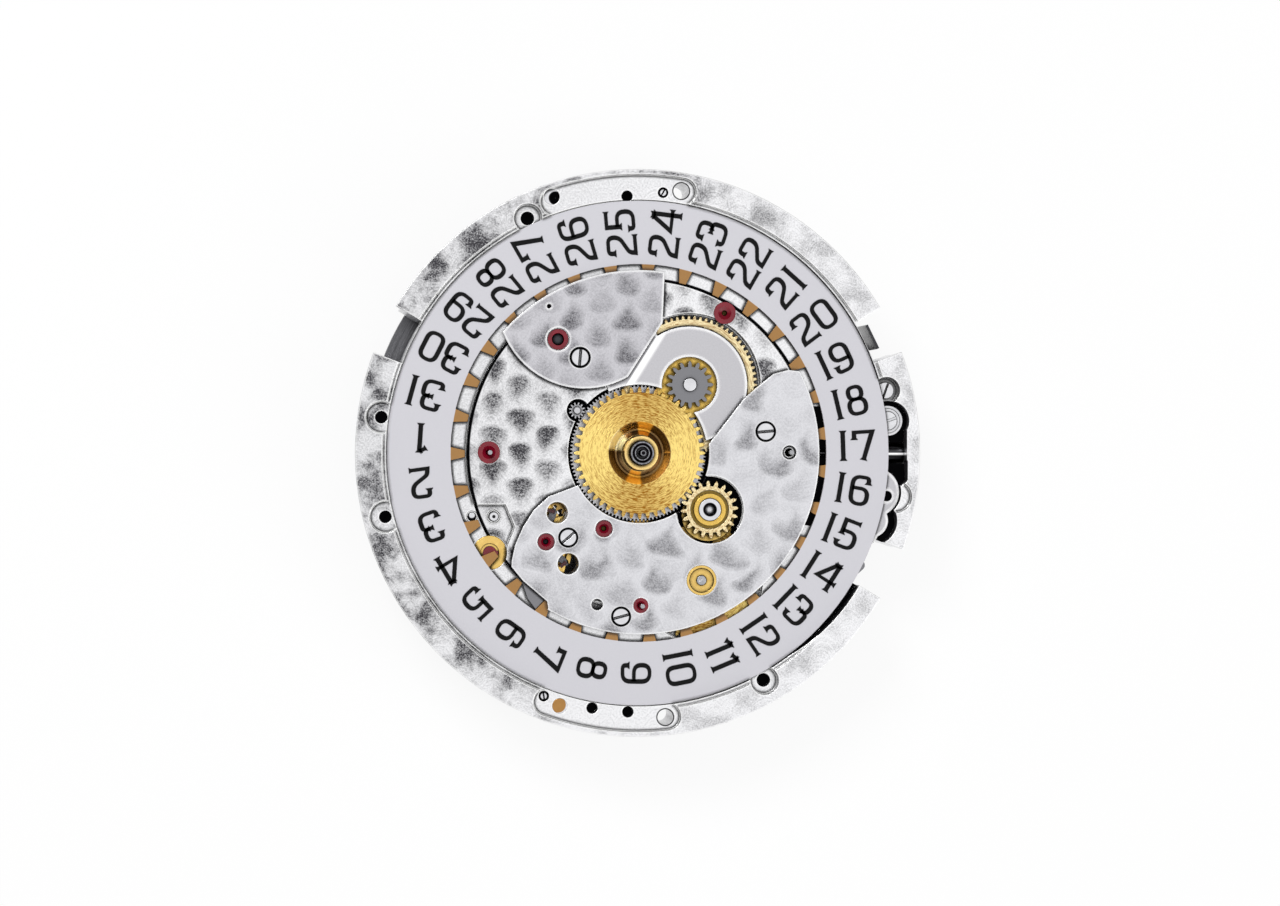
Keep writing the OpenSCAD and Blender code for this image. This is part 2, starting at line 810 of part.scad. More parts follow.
module date_ring() {
    base = 2.0;
    tip = 1.1;
    edge = [
        [ring_in_r, -base], [ring_tip_r, -tip], [ring_tip_r, tip],
        [ring_in_r, base], [ring_in_r, 180 / ring_days]
    ];
    color("whitesmoke")
        layer(ring_z - ring_t, ring_z)
            difference() {
                circle(ring_r);
                polygon([
                    for (i = [0:ring_days - 1], e = edge)
                        polar(e[0], 6 + i * 360 / ring_days + e[1])
                ]);
            }
}

// The hour wheel with its pipe, turned by the minute pinion
module hour_wheel() {
    color(brass)
        difference() {
            union() {
                pinion([0, 0], hour_teeth, hour_m, hour_z - hour_t, hour_z);
                rod([0, 0], hour_pipe_r, hour_z - hour_t, hour_pipe_h);
            }
            // Polished groove round the foot of the pipe
            translate([0, 0, hour_z - 0.2])
                difference() {
                    cylinder(r1 = 1.3, r2 = 1.65, h = 0.201);
                    cylinder(r1 = 1.2, r2 = hour_pipe_r + 0.06, h = 0.201);
                }
            rod([0, 0], cannon_r + fit, -1, hour_pipe_h + past);
        }
}

minute_pinion_ph = mesh([0, 0], minute_at, hour_teeth, 0, minute_pinion_teeth);
cannon_ph = mesh(minute_at, [0, 0], minute_teeth, 0, cannon_teeth);

module minute_wheel() {
    color(gold)
        difference() {
            wheel(minute_at, minute_teeth, cannon_m, -0.8, thin_wheel_t, 0, 1.75, 5);
            rod(minute_at, 0.34 + fit, -1, 0);
        }
}

module minute_pinion() {
    color("gray")
        difference() {
            pinion(
                minute_at, minute_pinion_teeth, hour_m,
                -0.8 + thin_wheel_t, hour_z, minute_pinion_ph
            );
            rod(minute_at, 0.34 + fit, -1, 0);
        }
}

// Cannon pinion: the minute hand sits on its end, above a waist inside the hour pipe
cannon_waist_r = 0.45;

module cannon_pinion() {
    color(steel)
        difference() {
            union() {
                pinion([0, 0], cannon_teeth, cannon_m, minute_pocket_z, -0.55, cannon_ph);
                rod([0, 0], cannon_r, -0.55, hour_z);
                rod([0, 0], cannon_waist_r, hour_z, hour_pipe_h + 0.02);
                rod([0, 0], cannon_r, hour_pipe_h + 0.02, cannon_h);
            }
            rod([0, 0], centre_tube_r + fit, -1, cannon_h + past);
        }
}

date_inter_ph = mesh([0, 0], date_inter_at, hour_teeth, 0, date_inter_teeth);

module date_intermediate_wheel() {
    color(brass)
        difference() {
            union() {
                pinion(
                    date_inter_at, date_inter_teeth, hour_m,
                    hour_z - hour_t, hour_z, date_inter_ph
                );
                rod(date_inter_at, 0.85, hour_z, -0.02);
                pinion(
                    date_inter_at, date_pinion_teeth, date_m,
                    date_layer_z - thin_wheel_t, hour_z - hour_t, 0
                );
            }
            rod(date_inter_at, 0.58 + fit, -0.31, past);
            rod(date_inter_at, 0.32 + fit, -1, past);
            difference() {
                rod(date_inter_at, 1.03, hour_z - 0.16, past);
                rod(date_inter_at, 0.85, -1, 1);
            }
        }
}

date_wheel_ph = mesh(date_inter_at, date_wheel_at, date_pinion_teeth, 0, date_teeth);

module date_wheel() {
    color(gold) {
        wheel(
            date_wheel_at, date_teeth, date_m, date_layer_z - thin_wheel_t,
            thin_wheel_t, date_wheel_ph, 0.6, 5, 0.35, 0.95
        );
        rod(date_wheel_at, 0.25, -1.35, keeper_z);
    }
}

// Sprung finger that moves the date ring on once a day
module date_finger() {
    reach = 1.95;
    turn = dir(date_wheel_at, [0, 0]);
    tip = date_wheel_at + polar(reach, turn);
    color(steel) {
        difference() {
            layer(date_layer_z, -0.62)
                union() {
                    bar(date_wheel_at, tip, 0.22);
                    translate(date_wheel_at)
                        circle(0.5);
                }
            rod(date_wheel_at, 0.25, -1, 0);
        }
        rod(tip, 0.08, -0.64, -0.3);
    }
}

module hour_counter_drive_wheel() {
    color(steel)
        difference() {
            wheel(
                [0, 0], drive_teeth, drive_m, counter_layer_z - thin_wheel_t,
                thin_wheel_t, 0, 1.3, 5, 0.4, 0.6
            );
            rod([0, 0], spigot_r + fit, -2, 0);
        }
}

module hour_counter_pinion() {
    ph = mesh([0, 0], drive_pinion_at, drive_teeth, 0, drive_pinion_teeth);
    color(steel) {
        pinion(
            drive_pinion_at, drive_pinion_teeth, drive_m,
            counter_layer_z - thin_wheel_t, counter_layer_z + 0.1, ph
        );
        rod(drive_pinion_at, stud_r - fit, stud_to_z + 0.05, -0.7);
    }
}

counter_idler_ph = mesh([0, 0], counter_idler_at, drive_teeth, 0, counter_idler_teeth);

module hour_counter_idler() {
    color(brass)
        difference() {
            wheel(
                counter_idler_at, counter_idler_teeth, drive_m,
                counter_layer_z - thin_wheel_t, thin_wheel_t, counter_idler_ph, 0.5, 4
            );
            rod(counter_idler_at, stud_r + fit, -2, 0);
        }
}

module hour_counter_wheel() {
    ph = mesh(
        counter_idler_at, hour_counter_at, counter_idler_teeth,
        counter_idler_ph, counter_teeth
    );
    color(brass) {
        wheel(
            hour_counter_at, counter_teeth, counter_m,
            counter_layer_z - thin_wheel_t, thin_wheel_t, ph, 0.3, 4, 0.2, 0.25
        );
        rod(hour_counter_at, arbor_r, -1.55, counter_h);
    }
}

// Barrel: a toothed drum with a lid, and the mainspring wound inside it
barrel_top_z = floor_z - 0.05;
barrel_low_z = barrel_top_z - 1.1;
barrel_floor_t = 0.2;
drum_r = 6.2;
spring_core_r = 0.75;

module barrel() {
    color(brass)
        difference() {
            union() {
                pinion(barrel_at, barrel_teeth, barrel_m, barrel_top_z - 0.2, barrel_top_z, 0);
                rod(barrel_at, drum_r, barrel_low_z, barrel_top_z);
            }
            rod(barrel_at, drum_r - 0.2, barrel_low_z + 0.15, barrel_top_z - barrel_floor_t);
            rod(barrel_at, barrel_arbor_r + fit, -9, 0);
        }
}

// The mainspring's band, as a spiral of short straight lengths
module mainspring() {
    turns = 8;
    steps = 24;
    band = 0.16;
    r0 = spring_core_r;
    r1 = drum_r - 0.35;
    grow = (r1 - r0) / (turns * steps);
    color(steel)
        translate([barrel_at.x, barrel_at.y, 0])
            layer(barrel_low_z + 0.22, barrel_top_z - barrel_floor_t - 0.07)
                polygon(concat(
                    [for (i = [0:turns * steps]) polar(r0 + grow * i, i * 360 / steps)],
                    [for (i = [turns * steps:-1:0]) polar(r0 + band + grow * i, i * 360 / steps)]
                ));
}

winding_wheel_z = bridge_back_z - 0.3;
winding_wheel_t = 0.2;

// Ratchet wheel screwed to the barrel arbor
module ratchet_wheel() {
    color(steel)
        difference() {
            union() {
                rod(barrel_at, barrel_arbor_r, winding_wheel_z, -0.3);
                rod(barrel_at, spring_core_r, barrel_low_z + 0.18, barrel_top_z - barrel_floor_t - 0.03);
                pinion(
                    barrel_at, ratchet_teeth, winding_m, winding_wheel_z,
                    winding_wheel_z + winding_wheel_t, 0
                );
                rod(barrel_at, 0.9, winding_wheel_z - 0.12, winding_wheel_z);
            }
            translate([barrel_at.x, barrel_at.y, winding_wheel_z - 0.12])
                cube([2, 0.2, 0.12], center = true);
        }
}

centre_pinion_ph = mesh(barrel_at, [0, 0], barrel_teeth, 0, centre_pinion_teeth);
centre_wheel_z = bridge_z + 0.3;
train_wheel_t = 0.15;

module centre_wheel() {
    color(brass)
        difference() {
            union() {
                rod([0, 0], centre_tube_r, bridge_z - 0.35, cannon_h - 0.3);
                pinion(
                    [0, 0], centre_pinion_teeth, barrel_m,
                    barrel_top_z - 0.25, barrel_top_z, centre_pinion_ph
                );
                wheel([0, 0], centre_teeth, centre_m, centre_wheel_z, train_wheel_t, 0, 0.6, 5);
            }
            rod([0, 0], seconds_arbor_r + fit, -9, 9);
        }
}

third_wheel_z = bridge_z + 0.7;

module third_wheel() {
    ph = mesh([0, 0], third_at, centre_teeth, 0, third_pinion_teeth);
    color(brass) {
        rod(third_at, arbor_r, bridge_z - 0.3, stud_to_z - 0.05);
        pinion(
            third_at, third_pinion_teeth, centre_m,
            centre_wheel_z - 0.05, centre_wheel_z + 0.2, ph
        );
        wheel(third_at, third_teeth, third_m, third_wheel_z, train_wheel_t, 0, 0.5, 5);
    }
}

fourth_wheel_z = bridge_z + 1.1;
seconds_wheel_z = floor_z + 0.1;

module fourth_wheel() {
    ph = mesh(third_at, fourth_at, third_teeth, 0, fourth_pinion_teeth);
    color(brass) {
        rod(fourth_at, arbor_r, bridge_z - 0.3, -1.4);
        pinion(
            fourth_at, fourth_pinion_teeth, third_m,
            third_wheel_z - 0.05, third_wheel_z + 0.2, ph
        );
        wheel(fourth_at, fourth_teeth, fourth_m, fourth_wheel_z, train_wheel_t, 0, 0.5, 5);
        wheel(fourth_at, seconds_teeth, seconds_m, seconds_wheel_z, train_wheel_t, 0, 0.5, 4);
    }
}

seconds_idler_ph = mesh(fourth_at, seconds_idler_at, seconds_teeth, 0, seconds_idler_teeth);

module seconds_idler() {
    color(brass)
        difference() {
            wheel(
                seconds_idler_at, seconds_idler_teeth, seconds_m,
                seconds_wheel_z, train_wheel_t, seconds_idler_ph, 0.6, 4
            );
            rod(seconds_idler_at, stud_r + fit, -3, 0);
        }
}

module small_seconds_wheel() {
    ph = mesh(
        seconds_idler_at, seconds_at, seconds_idler_teeth, seconds_idler_ph, seconds_teeth
    );
    color(brass) {
        wheel(seconds_at, seconds_teeth, seconds_m, seconds_wheel_z, train_wheel_t, ph, 0.5, 4);
        rod(seconds_at, arbor_r, bridge_z - 0.3, counter_h);
    }
}

escape_z = floor_z - 0.3;

// Escape wheel with club-shaped teeth
module escape_wheel() {
    ph = mesh(fourth_at, escape_at, fourth_teeth, 0, escape_pinion_teeth);
    step = 360 / escape_teeth;
    root_r = escape_r - 0.5;
    color(gold) {
        translate([escape_at.x, escape_at.y, 0])
            layer(escape_z, escape_z + train_wheel_t)
                difference() {
                    polygon([
                        for (i = [0:escape_teeth - 1], t = [
                                [root_r, 0], [escape_r - 0.12, 0.32 * step],
                                [escape_r, 0.62 * step], [escape_r - 0.1, 0.72 * step],
                                [root_r, 0.36 * step]
                            ])
                            polar(t[0], i * step + t[1])
                    ]);
                    crossings(root_r - 0.35, 0.45, 4, 0.3);
                }
        pinion(
            escape_at, escape_pinion_teeth, fourth_m,
            fourth_wheel_z - 0.05, fourth_wheel_z + 0.2, ph
        );
        rod(escape_at, arbor_r, bridge_z - 0.3, -0.45);
    }
}

stone_reach = 1.65;
stone_open = 57;
fork_reach = 2.72;

// A pallet stone's centre, on the near or the far arm
function stone_at(s) = pallet_at + polar(stone_reach, dir(pallet_at, escape_at) + s * stone_open);

module pallet_fork() {
    way = dir(pallet_at, balance_at);
    color(steel) {
        layer(escape_z, escape_z + train_wheel_t)
            difference() {
                union() {
                    bar(pallet_at, pallet_at + polar(fork_reach - 0.3, way), 0.24);
                    translate(pallet_at + polar(fork_reach - 0.22, way))
                        circle(0.3);
                    for (s = [-1, 1])
                        bar(pallet_at, stone_at(s), 0.36);
                    translate(pallet_at)
                        circle(0.4);
                }
                translate(pallet_at)
                    rotate(way)
                        translate([fork_reach - 0.3, -0.1])
                            square([1, 0.2]);
                for (s = [-1, 1])
                    stone_outline(s);
            }
        rod(pallet_at, arbor_r, escape_z - 0.55, -0.45);
    }
}

// Outline of one pallet stone, which points at the escape wheel
module stone_outline(s) {
    translate(stone_at(s))
        rotate(dir(stone_at(s), escape_at))
            translate([-0.36, -0.09])
                square([0.4, 0.18]);
}

module pallet_stones() {
    color(ruby)
        for (s = [-1, 1])
            layer(escape_z - 0.02, escape_z + train_wheel_t + 0.02)
                stone_outline(s);
}

pallet_foot = [-4.9, -7.4];
pallet_bridge_z = escape_z - 0.55;

module pallet_bridge() {
    color(plated)
        difference() {
            union() {
                layer(pallet_bridge_z, escape_z - 0.2)
                    union() {
                        bar(pallet_foot, pallet_at, 1.1);
                        bar(pallet_foot - [0.6, 0], pallet_foot + [0.9, 0], 1.2);
                    }
                layer(escape_z - 0.2, floor_z)
                    bar(pallet_foot - [0.6, 0], pallet_foot + [0.9, 0], 1.2);
            }
            rod(pallet_at, arbor_r + fit, -9, 0);
            rod(pallet_foot, 0.45 + fit, -9, pallet_bridge_z + 0.15);
            rod(pallet_foot, screw_shank_r, -9, 0);
        }
}

balance_z = bridge_z + 0.3;
balance_t = 0.35;
staff_pivot_r = 0.07;
impulse_r = 0.42;
collet_r = 0.42;
cock_foot = polar(12.9, 248);

module balance_wheel() {
    color(gold)
        translate([balance_at.x, balance_at.y, 0]) {
            layer(balance_z, balance_z + balance_t)
                difference() {
                    circle(balance_r);
                    circle(balance_r - 0.4);
                }
            layer(balance_z + 0.08, balance_z + 0.24)
                for (a = [30, 150, 270])
                    rotate(a)
                        translate([0, -0.16])
                            square([balance_r - 0.2, 0.32]);
            for (a = [30:60:330])
                rotate(a)
                    translate([balance_r - 0.5, 0, balance_z + 0.05])
                        cylinder(r = 0.22, h = balance_t - 0.1);
        }
    color(steel) {
        rod(balance_at, 0.28, balance_z - 0.05, balance_z + 0.35);
        rod(balance_at, 0.16, bridge_z + 0.04, escape_z - 0.06);
        rod(balance_at, collet_r, bridge_z + 0.06, bridge_z + 0.18);
        rod(balance_at, staff_pivot_r, bridge_z - 0.3, -0.85);
        rod(balance_at, 0.55, escape_z - 0.18, escape_z - 0.06);
    }
    color(ruby)
        rod(balance_at + polar(impulse_r, dir(balance_at, pallet_at)), 0.07,
            escape_z - 0.1, escape_z + train_wheel_t + 0.02);
}

// Hairspring, as a spiral of short straight lengths, and its stud
module hairspring() {
    turns = 6;
    steps = 24;
    band = 0.07;
    r0 = collet_r;
    r1 = 2.3;
    grow = (r1 - r0) / (turns * steps);
    out = r1 + band / 2;
    turn = dir(balance_at, cock_foot);
    color("steelblue")
        translate([balance_at.x, balance_at.y, 0]) {
            layer(bridge_z + 0.06, bridge_z + 0.18)
                polygon(concat(
                    [for (i = [0:turns * steps]) polar(r0 + grow * i, turn + i * 360 / steps)],
                    [for (i = [turns * steps:-1:0])
                        polar(r0 + band + grow * i, turn + i * 360 / steps)]
                ));
            rod(polar(out, turn), 0.12, bridge_z, bridge_z + 0.22);
        }
}

// Holes for the arbors and jewels of a plate that spans zs, as place and radius
module holes(list, z0, z1) {
    for (h = list)
        rod(h[0], h[1], z0 - past, z1 + past);
}

// Screw holes with sunk heads in a bridge between z0 at the back and z1
module sunk_screw_holes(list, z0, z1) {
    for (s = list) {
        rod(s[0], bridge_screw_r + fit, z0 - past, z0 + 0.22);
        rod(s[0], screw_shank_r, z0 - past, z1 + past);
    }
}

module notch_cuts(z0, z1) {
    for (n = notches)
        layer(z0 - past, z1 + past)
            sector(notch_r, 17, n[0], n[1]);
}

bridge_jewel_r = 0.45;
bridge_edge_r = 14.3;

module balance_cock() {
    color(plated)
        difference() {
            layer(bridge_back_z, bridge_z)
                intersection() {
                    circle(bridge_edge_r);
                    union() {
                        bar(cock_foot, balance_at, 1.9);
                        translate(balance_at)
                            circle(1.3);
                        sector(11.6, bridge_edge_r, 238.5, 256.5);
                    }
                }
            holes([[balance_at, 0.9]], bridge_back_z, bridge_z);
            sunk_screw_holes([bridge_screw_list[7]], bridge_back_z, bridge_z);
        }
}

module barrel_bridge() {
    color(plated)
        difference() {
            layer(bridge_back_z, bridge_z)
                intersection() {
                    circle(bridge_edge_r);
                    polygon([
                        [-15, -1.3], [-7.2, -1.3], [-1.75, 1.35], [1.0, 3.1],
                        [2.4, 8.0], [4.5, 15], [-15, 15]
                    ]);
                }
            holes(
                [[barrel_at, barrel_arbor_r + fit], [seconds_at, bridge_jewel_r], [foot_a, 0.7]],
                bridge_back_z, bridge_z
            );
            sunk_screw_holes(
                [bridge_screw_list[3], bridge_screw_list[4]], bridge_back_z, bridge_z
            );
            for (p = winding_legs)
                rod(p, screw_shank_r, bridge_back_z - past, bridge_z + past);
            notch_cuts(bridge_back_z, bridge_z);
        }
}

module train_bridge() {
    color(plated)
        difference() {
            layer(bridge_back_z, bridge_z)
                difference() {
                    intersection() {
                        circle(bridge_edge_r);
                        polygon([
                            [-1.5, 1.3], [1.12, 2.98], [2.55, 7.95], [4.65, 15], [15, 15],
                            [15, -15], [-2.7, -15], [-2.7, -7.6], [-3.3, -2.6]
                        ]);
                    }
                    translate(balance_at)
                        circle(balance_r + 0.35);
                }
            holes(
                [
                    [[0, 0], 0.75], [third_at, bridge_jewel_r], [fourth_at, bridge_jewel_r],
                    [escape_at, bridge_jewel_r], [minute_counter_at, 0.3],
                    [inter_winding_at, 0.3], [crown_at, crown_arbor_r + fit],
                    [foot_b, 0.7]
                ],
                bridge_back_z, bridge_z
            );
            holes(
                [
                    [reversing_at, arbor_r + fit], [column_at, 0.28],
                    [lever_pivot, 0.33], [reset_pivot, 0.33]
                ],
                bridge_back_z, bridge_z - 0.1
            );
            sunk_screw_holes(
                [for (i = [0, 1, 2, 5, 6]) bridge_screw_list[i]], bridge_back_z, bridge_z
            );
            for (p = concat(winding_legs, chrono_legs))
                rod(p, screw_shank_r, bridge_back_z - past, bridge_z + past);
            notch_cuts(bridge_back_z, bridge_z);
        }
}

// A screw seen from the back, with its head's face at height z
module back_screw(p, r, z, h, shank_to, turn) {
    difference() {
        union() {
            rod(p, r, z, z + h);
            rod(p, screw_shank_r, z + h, shank_to);
        }
        translate([p.x, p.y, z])
            rotate(turn)
                cube([3 * r, r * 0.3, h], center = true);
    }
}

module bridge_screws() {
    color(steel) {
        for (s = bridge_screw_list)
            back_screw(s[0], bridge_screw_r, bridge_back_z, 0.22, bridge_z + 1.1, s[1]);
        for (i = [0:2])
            back_screw(winding_legs[i], 0.5, winding_back_z, 0.14, bridge_z, 25 + 50 * i);
        for (i = [0:1])
            back_screw(
                chrono_legs[i], 0.45, chrono_bridge_z - chrono_bridge_t, 0.14,
                bridge_z, 80 + 40 * i
            );
        back_screw(pallet_foot, 0.45, pallet_bridge_z, 0.15, floor_z + 0.5, 30);
    }
}

module bridge_jewels() {
    color(ruby) {
        jewel([0, 0], 0.75, bridge_back_z + 0.15, bridge_z, centre_tube_r + fit, false);
        for (p = [third_at, fourth_at, escape_at, seconds_at])
            jewel(p, bridge_jewel_r, bridge_back_z + 0.1, bridge_z, arbor_r + fit, false);
        for (p = [inter_winding_at, reversing_at])
            jewel(p, bridge_jewel_r, winding_back_z, winding_bridge_z, arbor_r + fit, false);
        for (j = [[minute_counter_at, arbor_r], [[0, 0], seconds_arbor_r]])
            jewel(
                j[0], bridge_jewel_r, chrono_bridge_z - chrono_bridge_t, chrono_bridge_z,
                j[1] + fit, false
            );
    }
}

module winding_stem() {
    color(dark)
        difference() {
            union() {
                x_rod(stem_pilot_r, stem_in_x, stem_step_x);
                x_rod(stem_r, stem_step_x, stem_end_x);
            }
            difference() {
                x_rod(stem_r + past, groove_x - groove_w / 2, groove_x + groove_w / 2);
                x_rod(groove_r, groove_x - groove_w, groove_x + groove_w);
            }
        }
}

module winding_pinion() {
    teeth = 14;
    color(steel)
        difference() {
            translate([pinion_x, 0, stem_z])
                rotate([0, 90, 0])
                    linear_extrude(pinion_w)
                        gear(teeth, 2 * pinion_r / (teeth + 1.5));
            x_rod(stem_pilot_r + fit, pinion_x - 1, pinion_x + pinion_w + 1);
        }
}

lever_pin_r = 0.15;

// Setting lever, whose pin follows the groove of the stem
module setting_lever() {
    pin = [groove_x, 0];
    color(steel) {
        difference() {
            layer(lever_z - lever_t, lever_z)
                union() {
                    translate(lever_at)
                        circle(0.62);
                    bar(lever_at, pin, 0.42);
                }
            rod(lever_at, lever_shank_r + fit, -2, 0);
        }
        rod(pin, lever_pin_r, stem_z + groove_r + 0.05, lever_z - lever_t);
    }
}

crown_arbor_r = 0.3;
crown_low_r = 3.14;

// Crown wheel: its lower rim meets the winding pinion, its upper one the train
module crown_wheel() {
    ph = mesh(
        inter_winding_at, crown_at, inter_winding_teeth, inter_winding_ph, crown_teeth
    );
    low_teeth = 40;
    low_m = 2 * crown_low_r / (low_teeth + 1.5);
    color(steel) {
        rod(crown_at, crown_arbor_r, winding_wheel_z, stud_to_z - 0.05);
        pinion(
            crown_at, crown_teeth, pitch(inter_winding_at, crown_at, inter_winding_teeth, crown_teeth),
            winding_wheel_z, winding_wheel_z + winding_wheel_t, ph
        );
        pinion(
            crown_at, low_teeth, low_m, stem_z - pinion_r - 0.2, stem_z - pinion_r - 0.02
        );
    }
}

inter_winding_ph = mesh(barrel_at, inter_winding_at, ratchet_teeth, 0, inter_winding_teeth);

module intermediate_winding_wheel() {
    color(brass) {
        rod(inter_winding_at, arbor_r, winding_bridge_z - 0.2, -0.45);
        wheel(
            inter_winding_at, inter_winding_teeth, winding_m, winding_wheel_z,
            winding_wheel_t, inter_winding_ph, 0.6, 5, 0.4, 0.7
        );
    }
}

// Column wheel: a ratchet with six columns that steer the levers
module column_wheel() {
    column_z = chrono_bridge_z + 0.05;
    teeth = 12;
    color(steel) {
        translate([column_at.x, column_at.y, 0]) {
            layer(winding_wheel_z, winding_wheel_z + 0.2)
                polygon([
                    for (i = [0:teeth - 1], t = [[1.05, 0], [1.3, 3], [1.3, 8]])
                        polar(t[0], i * 360 / teeth + t[1])
                ]);
            layer(column_z, winding_wheel_z)
                for (a = [0:60:300])
                    rotate(a)
                        sector(0.65, 1.0, -14, 14);
            rod([0, 0], 0.4, column_z, winding_wheel_z);
            rod([0, 0], 0.25, winding_wheel_z + 0.2, bridge_z + 0.05 - 0.35);
        }
    }
}

lever_pivot = [12.3, 1.0];
lever_push = [12.75, 6.15];
lever_hook = [12.1, -3.7];
lever_claw = column_at + polar(1.46, 20);
chrono_wheel_z = chrono_bridge_z + 0.1;
chrono_wheel_t = 0.15;

// Lever that the start pusher presses through the notch at 2 o'clock
module operating_lever() {
    color(dark) {
        layer(chrono_wheel_z, chrono_wheel_z + chrono_wheel_t)
            union() {
                bar(lever_pivot, lever_push, 0.6);
                bar(lever_pivot, lever_hook, 0.5);
                translate(lever_pivot)
                    circle(0.55);
                translate(lever_push)
                    circle(0.45);
                bar(lever_hook, lever_claw, 0.2);
            }
        layer(chrono_wheel_z, -0.7)
            translate(polar(14, 26.3))
                rotate(26.3)
                    translate([-0.07, -0.7])
                        square([0.14, 1.4]);
        rod(lever_claw, 0.1, chrono_wheel_z, winding_wheel_z + 0.15);
        rod(lever_pivot, 0.3, chrono_wheel_z, bridge_back_z + 0.4);
    }
}

reset_pivot = [9.0, -9.2];
reset_push = [12.45, -6.1];
reset_hammer = polar(2.02, 37.4);

// Lever that the reset pusher presses through the notch at 4 o'clock
module reset_lever() {
    way = dir(reset_pivot, reset_hammer);
    color(steel) {
        layer(winding_wheel_z, winding_wheel_z + winding_wheel_t)
            union() {
                bar(reset_pivot, reset_push, 0.6);
                bar(reset_pivot, reset_hammer, 0.38);
                translate(reset_pivot)
                    circle(0.6);
                translate(reset_hammer)
                    rotate(way)
                        translate([-0.55, 0])
                            square([1.1, 0.24]);
            }
        rod(reset_pivot, 0.3, winding_wheel_z, bridge_back_z + 0.4);
    }
}

heart_min_r = 0.55;
heart_max_r = 1.15;

// Chronograph wheel with its heart cam and the long central seconds arbor
module chronograph_wheel() {
    teeth = 120;
    rest = dir([0, 0], reset_hammer);
    color(brass)
        wheel(
            [0, 0], teeth, 6.4 / teeth, chrono_wheel_z, chrono_wheel_t, 0, 0.6, 5, 0.3, 0.4
        );
    color(steel) {
        rod([0, 0], seconds_arbor_r, chrono_bridge_z - chrono_bridge_t + 0.05, seconds_h);
        layer(winding_wheel_z, winding_wheel_z + winding_wheel_t)
            heart(rest);
        rod([0, 0], 0.4, chrono_wheel_z, winding_wheel_z);
    }
}

// Heart cam whose notch points along the angle a
module heart(a) {
    steps = 24;
    polygon([
        for (i = [0:steps - 1])
            let (t = i * 360 / steps, u = t > 180 ? 360 - t : t)
                polar(heart_min_r + (heart_max_r - heart_min_r) * u / 180, a + t)
    ]);
}

module minute_counter_wheel() {
    teeth = 60;
    color(brass)
        wheel(
            minute_counter_at, teeth, 4.1 / teeth, chrono_wheel_z,
            chrono_wheel_t, 0, 0.5, 5, 0.3, 0.4
        );
    color(steel)
        rod(
            minute_counter_at, arbor_r,
            chrono_bridge_z - chrono_bridge_t + 0.05, counter_h
        );
}

chrono_legs = [[11.0, -2.0], [3.0, -9.5]];
winding_legs = [[0.3, 11.3], [-6.4, -0.25], [9.0, 7.2]];

winding_edge_r = 11.9;
barrel_view_r = 3;

// Screw holes through the legs at the points of a list, their heads sunk from z
module leg_holes(list, head_r, z) {
    for (p = list) {
        rod(p, head_r + fit, z - past, z + 0.14);
        rod(p, screw_shank_r, z, 0);
    }
}

module chronograph_bridge() {
    color(plated)
        difference() {
            union() {
                layer(chrono_bridge_z - chrono_bridge_t, chrono_bridge_z)
                    union() {
                        bar([0, 0], minute_counter_at, 1.7);
                        bar(minute_counter_at, chrono_legs[0], 1.4);
                        bar([0, 0], chrono_legs[1], 1.7);
                        circle(1.4);
                    }
                for (p = chrono_legs)
                    rod(p, 0.6, chrono_bridge_z, bridge_back_z);
            }
            holes(
                [[[0, 0], bridge_jewel_r], [minute_counter_at, bridge_jewel_r]],
                chrono_bridge_z - chrono_bridge_t, chrono_bridge_z
            );
            leg_holes(chrono_legs, 0.45, chrono_bridge_z - chrono_bridge_t);
        }
}

module winding_bridge() {
    color(plated)
        difference() {
            union() {
                layer(winding_back_z, winding_bridge_z)
                    difference() {
                        intersection() {
                            circle(winding_edge_r);
                            polygon([
                                [-13, 1.3], [-7.3, -1.5], [-2.4, -2.4], [2.4, -2.4],
                                [6.5, 1.5], [13, 6], [13, 13], [-13, 13]
                            ]);
                        }
                        translate(barrel_at)
                            circle(barrel_view_r);
                    }
                for (p = winding_legs)
                    rod(p, 0.65, winding_bridge_z, bridge_back_z);
            }
            for (p = [inter_winding_at, reversing_at])
                rod(p, bridge_jewel_r, winding_back_z - past, winding_bridge_z + past);
            rod([0, 0], bearing_shank_r, winding_back_z - past, winding_bridge_z + past);
            leg_holes(winding_legs, 0.5, winding_back_z);
        }
}

reversing_z = winding_back_z - 0.22;
reversing_t = 0.15;
rotor_pinion_ph = 0;
reversing_ph = mesh([0, 0], reversing_at, rotor_pinion_teeth, rotor_pinion_ph, reversing_teeth);

// Reversing wheel: the rotor turns its wheel, and its pinion winds the train
module reversing_wheel() {
    low_teeth = 22;
    ph = mesh(
        inter_winding_at, reversing_at, inter_winding_teeth, inter_winding_ph, low_teeth
    );
    color(brass) {
        wheel(
            reversing_at, reversing_teeth, rotor_m, reversing_z, reversing_t,
            reversing_ph, 0.6, 5, 0.35, 0.5
        );
        rod(reversing_at, arbor_r, reversing_z, bridge_back_z + 0.5);
        pinion(
            reversing_at, low_teeth,
            pitch(inter_winding_at, reversing_at, inter_winding_teeth, low_teeth),
            winding_wheel_z, winding_wheel_z + winding_wheel_t, ph
        );
    }
}

bearing_shank_r = 0.5;
bearing_post_r = 0.8;
ball_r = 0.13;
rotor_back_z = -movement_t;
rotor_web_z = reversing_z - 0.33;

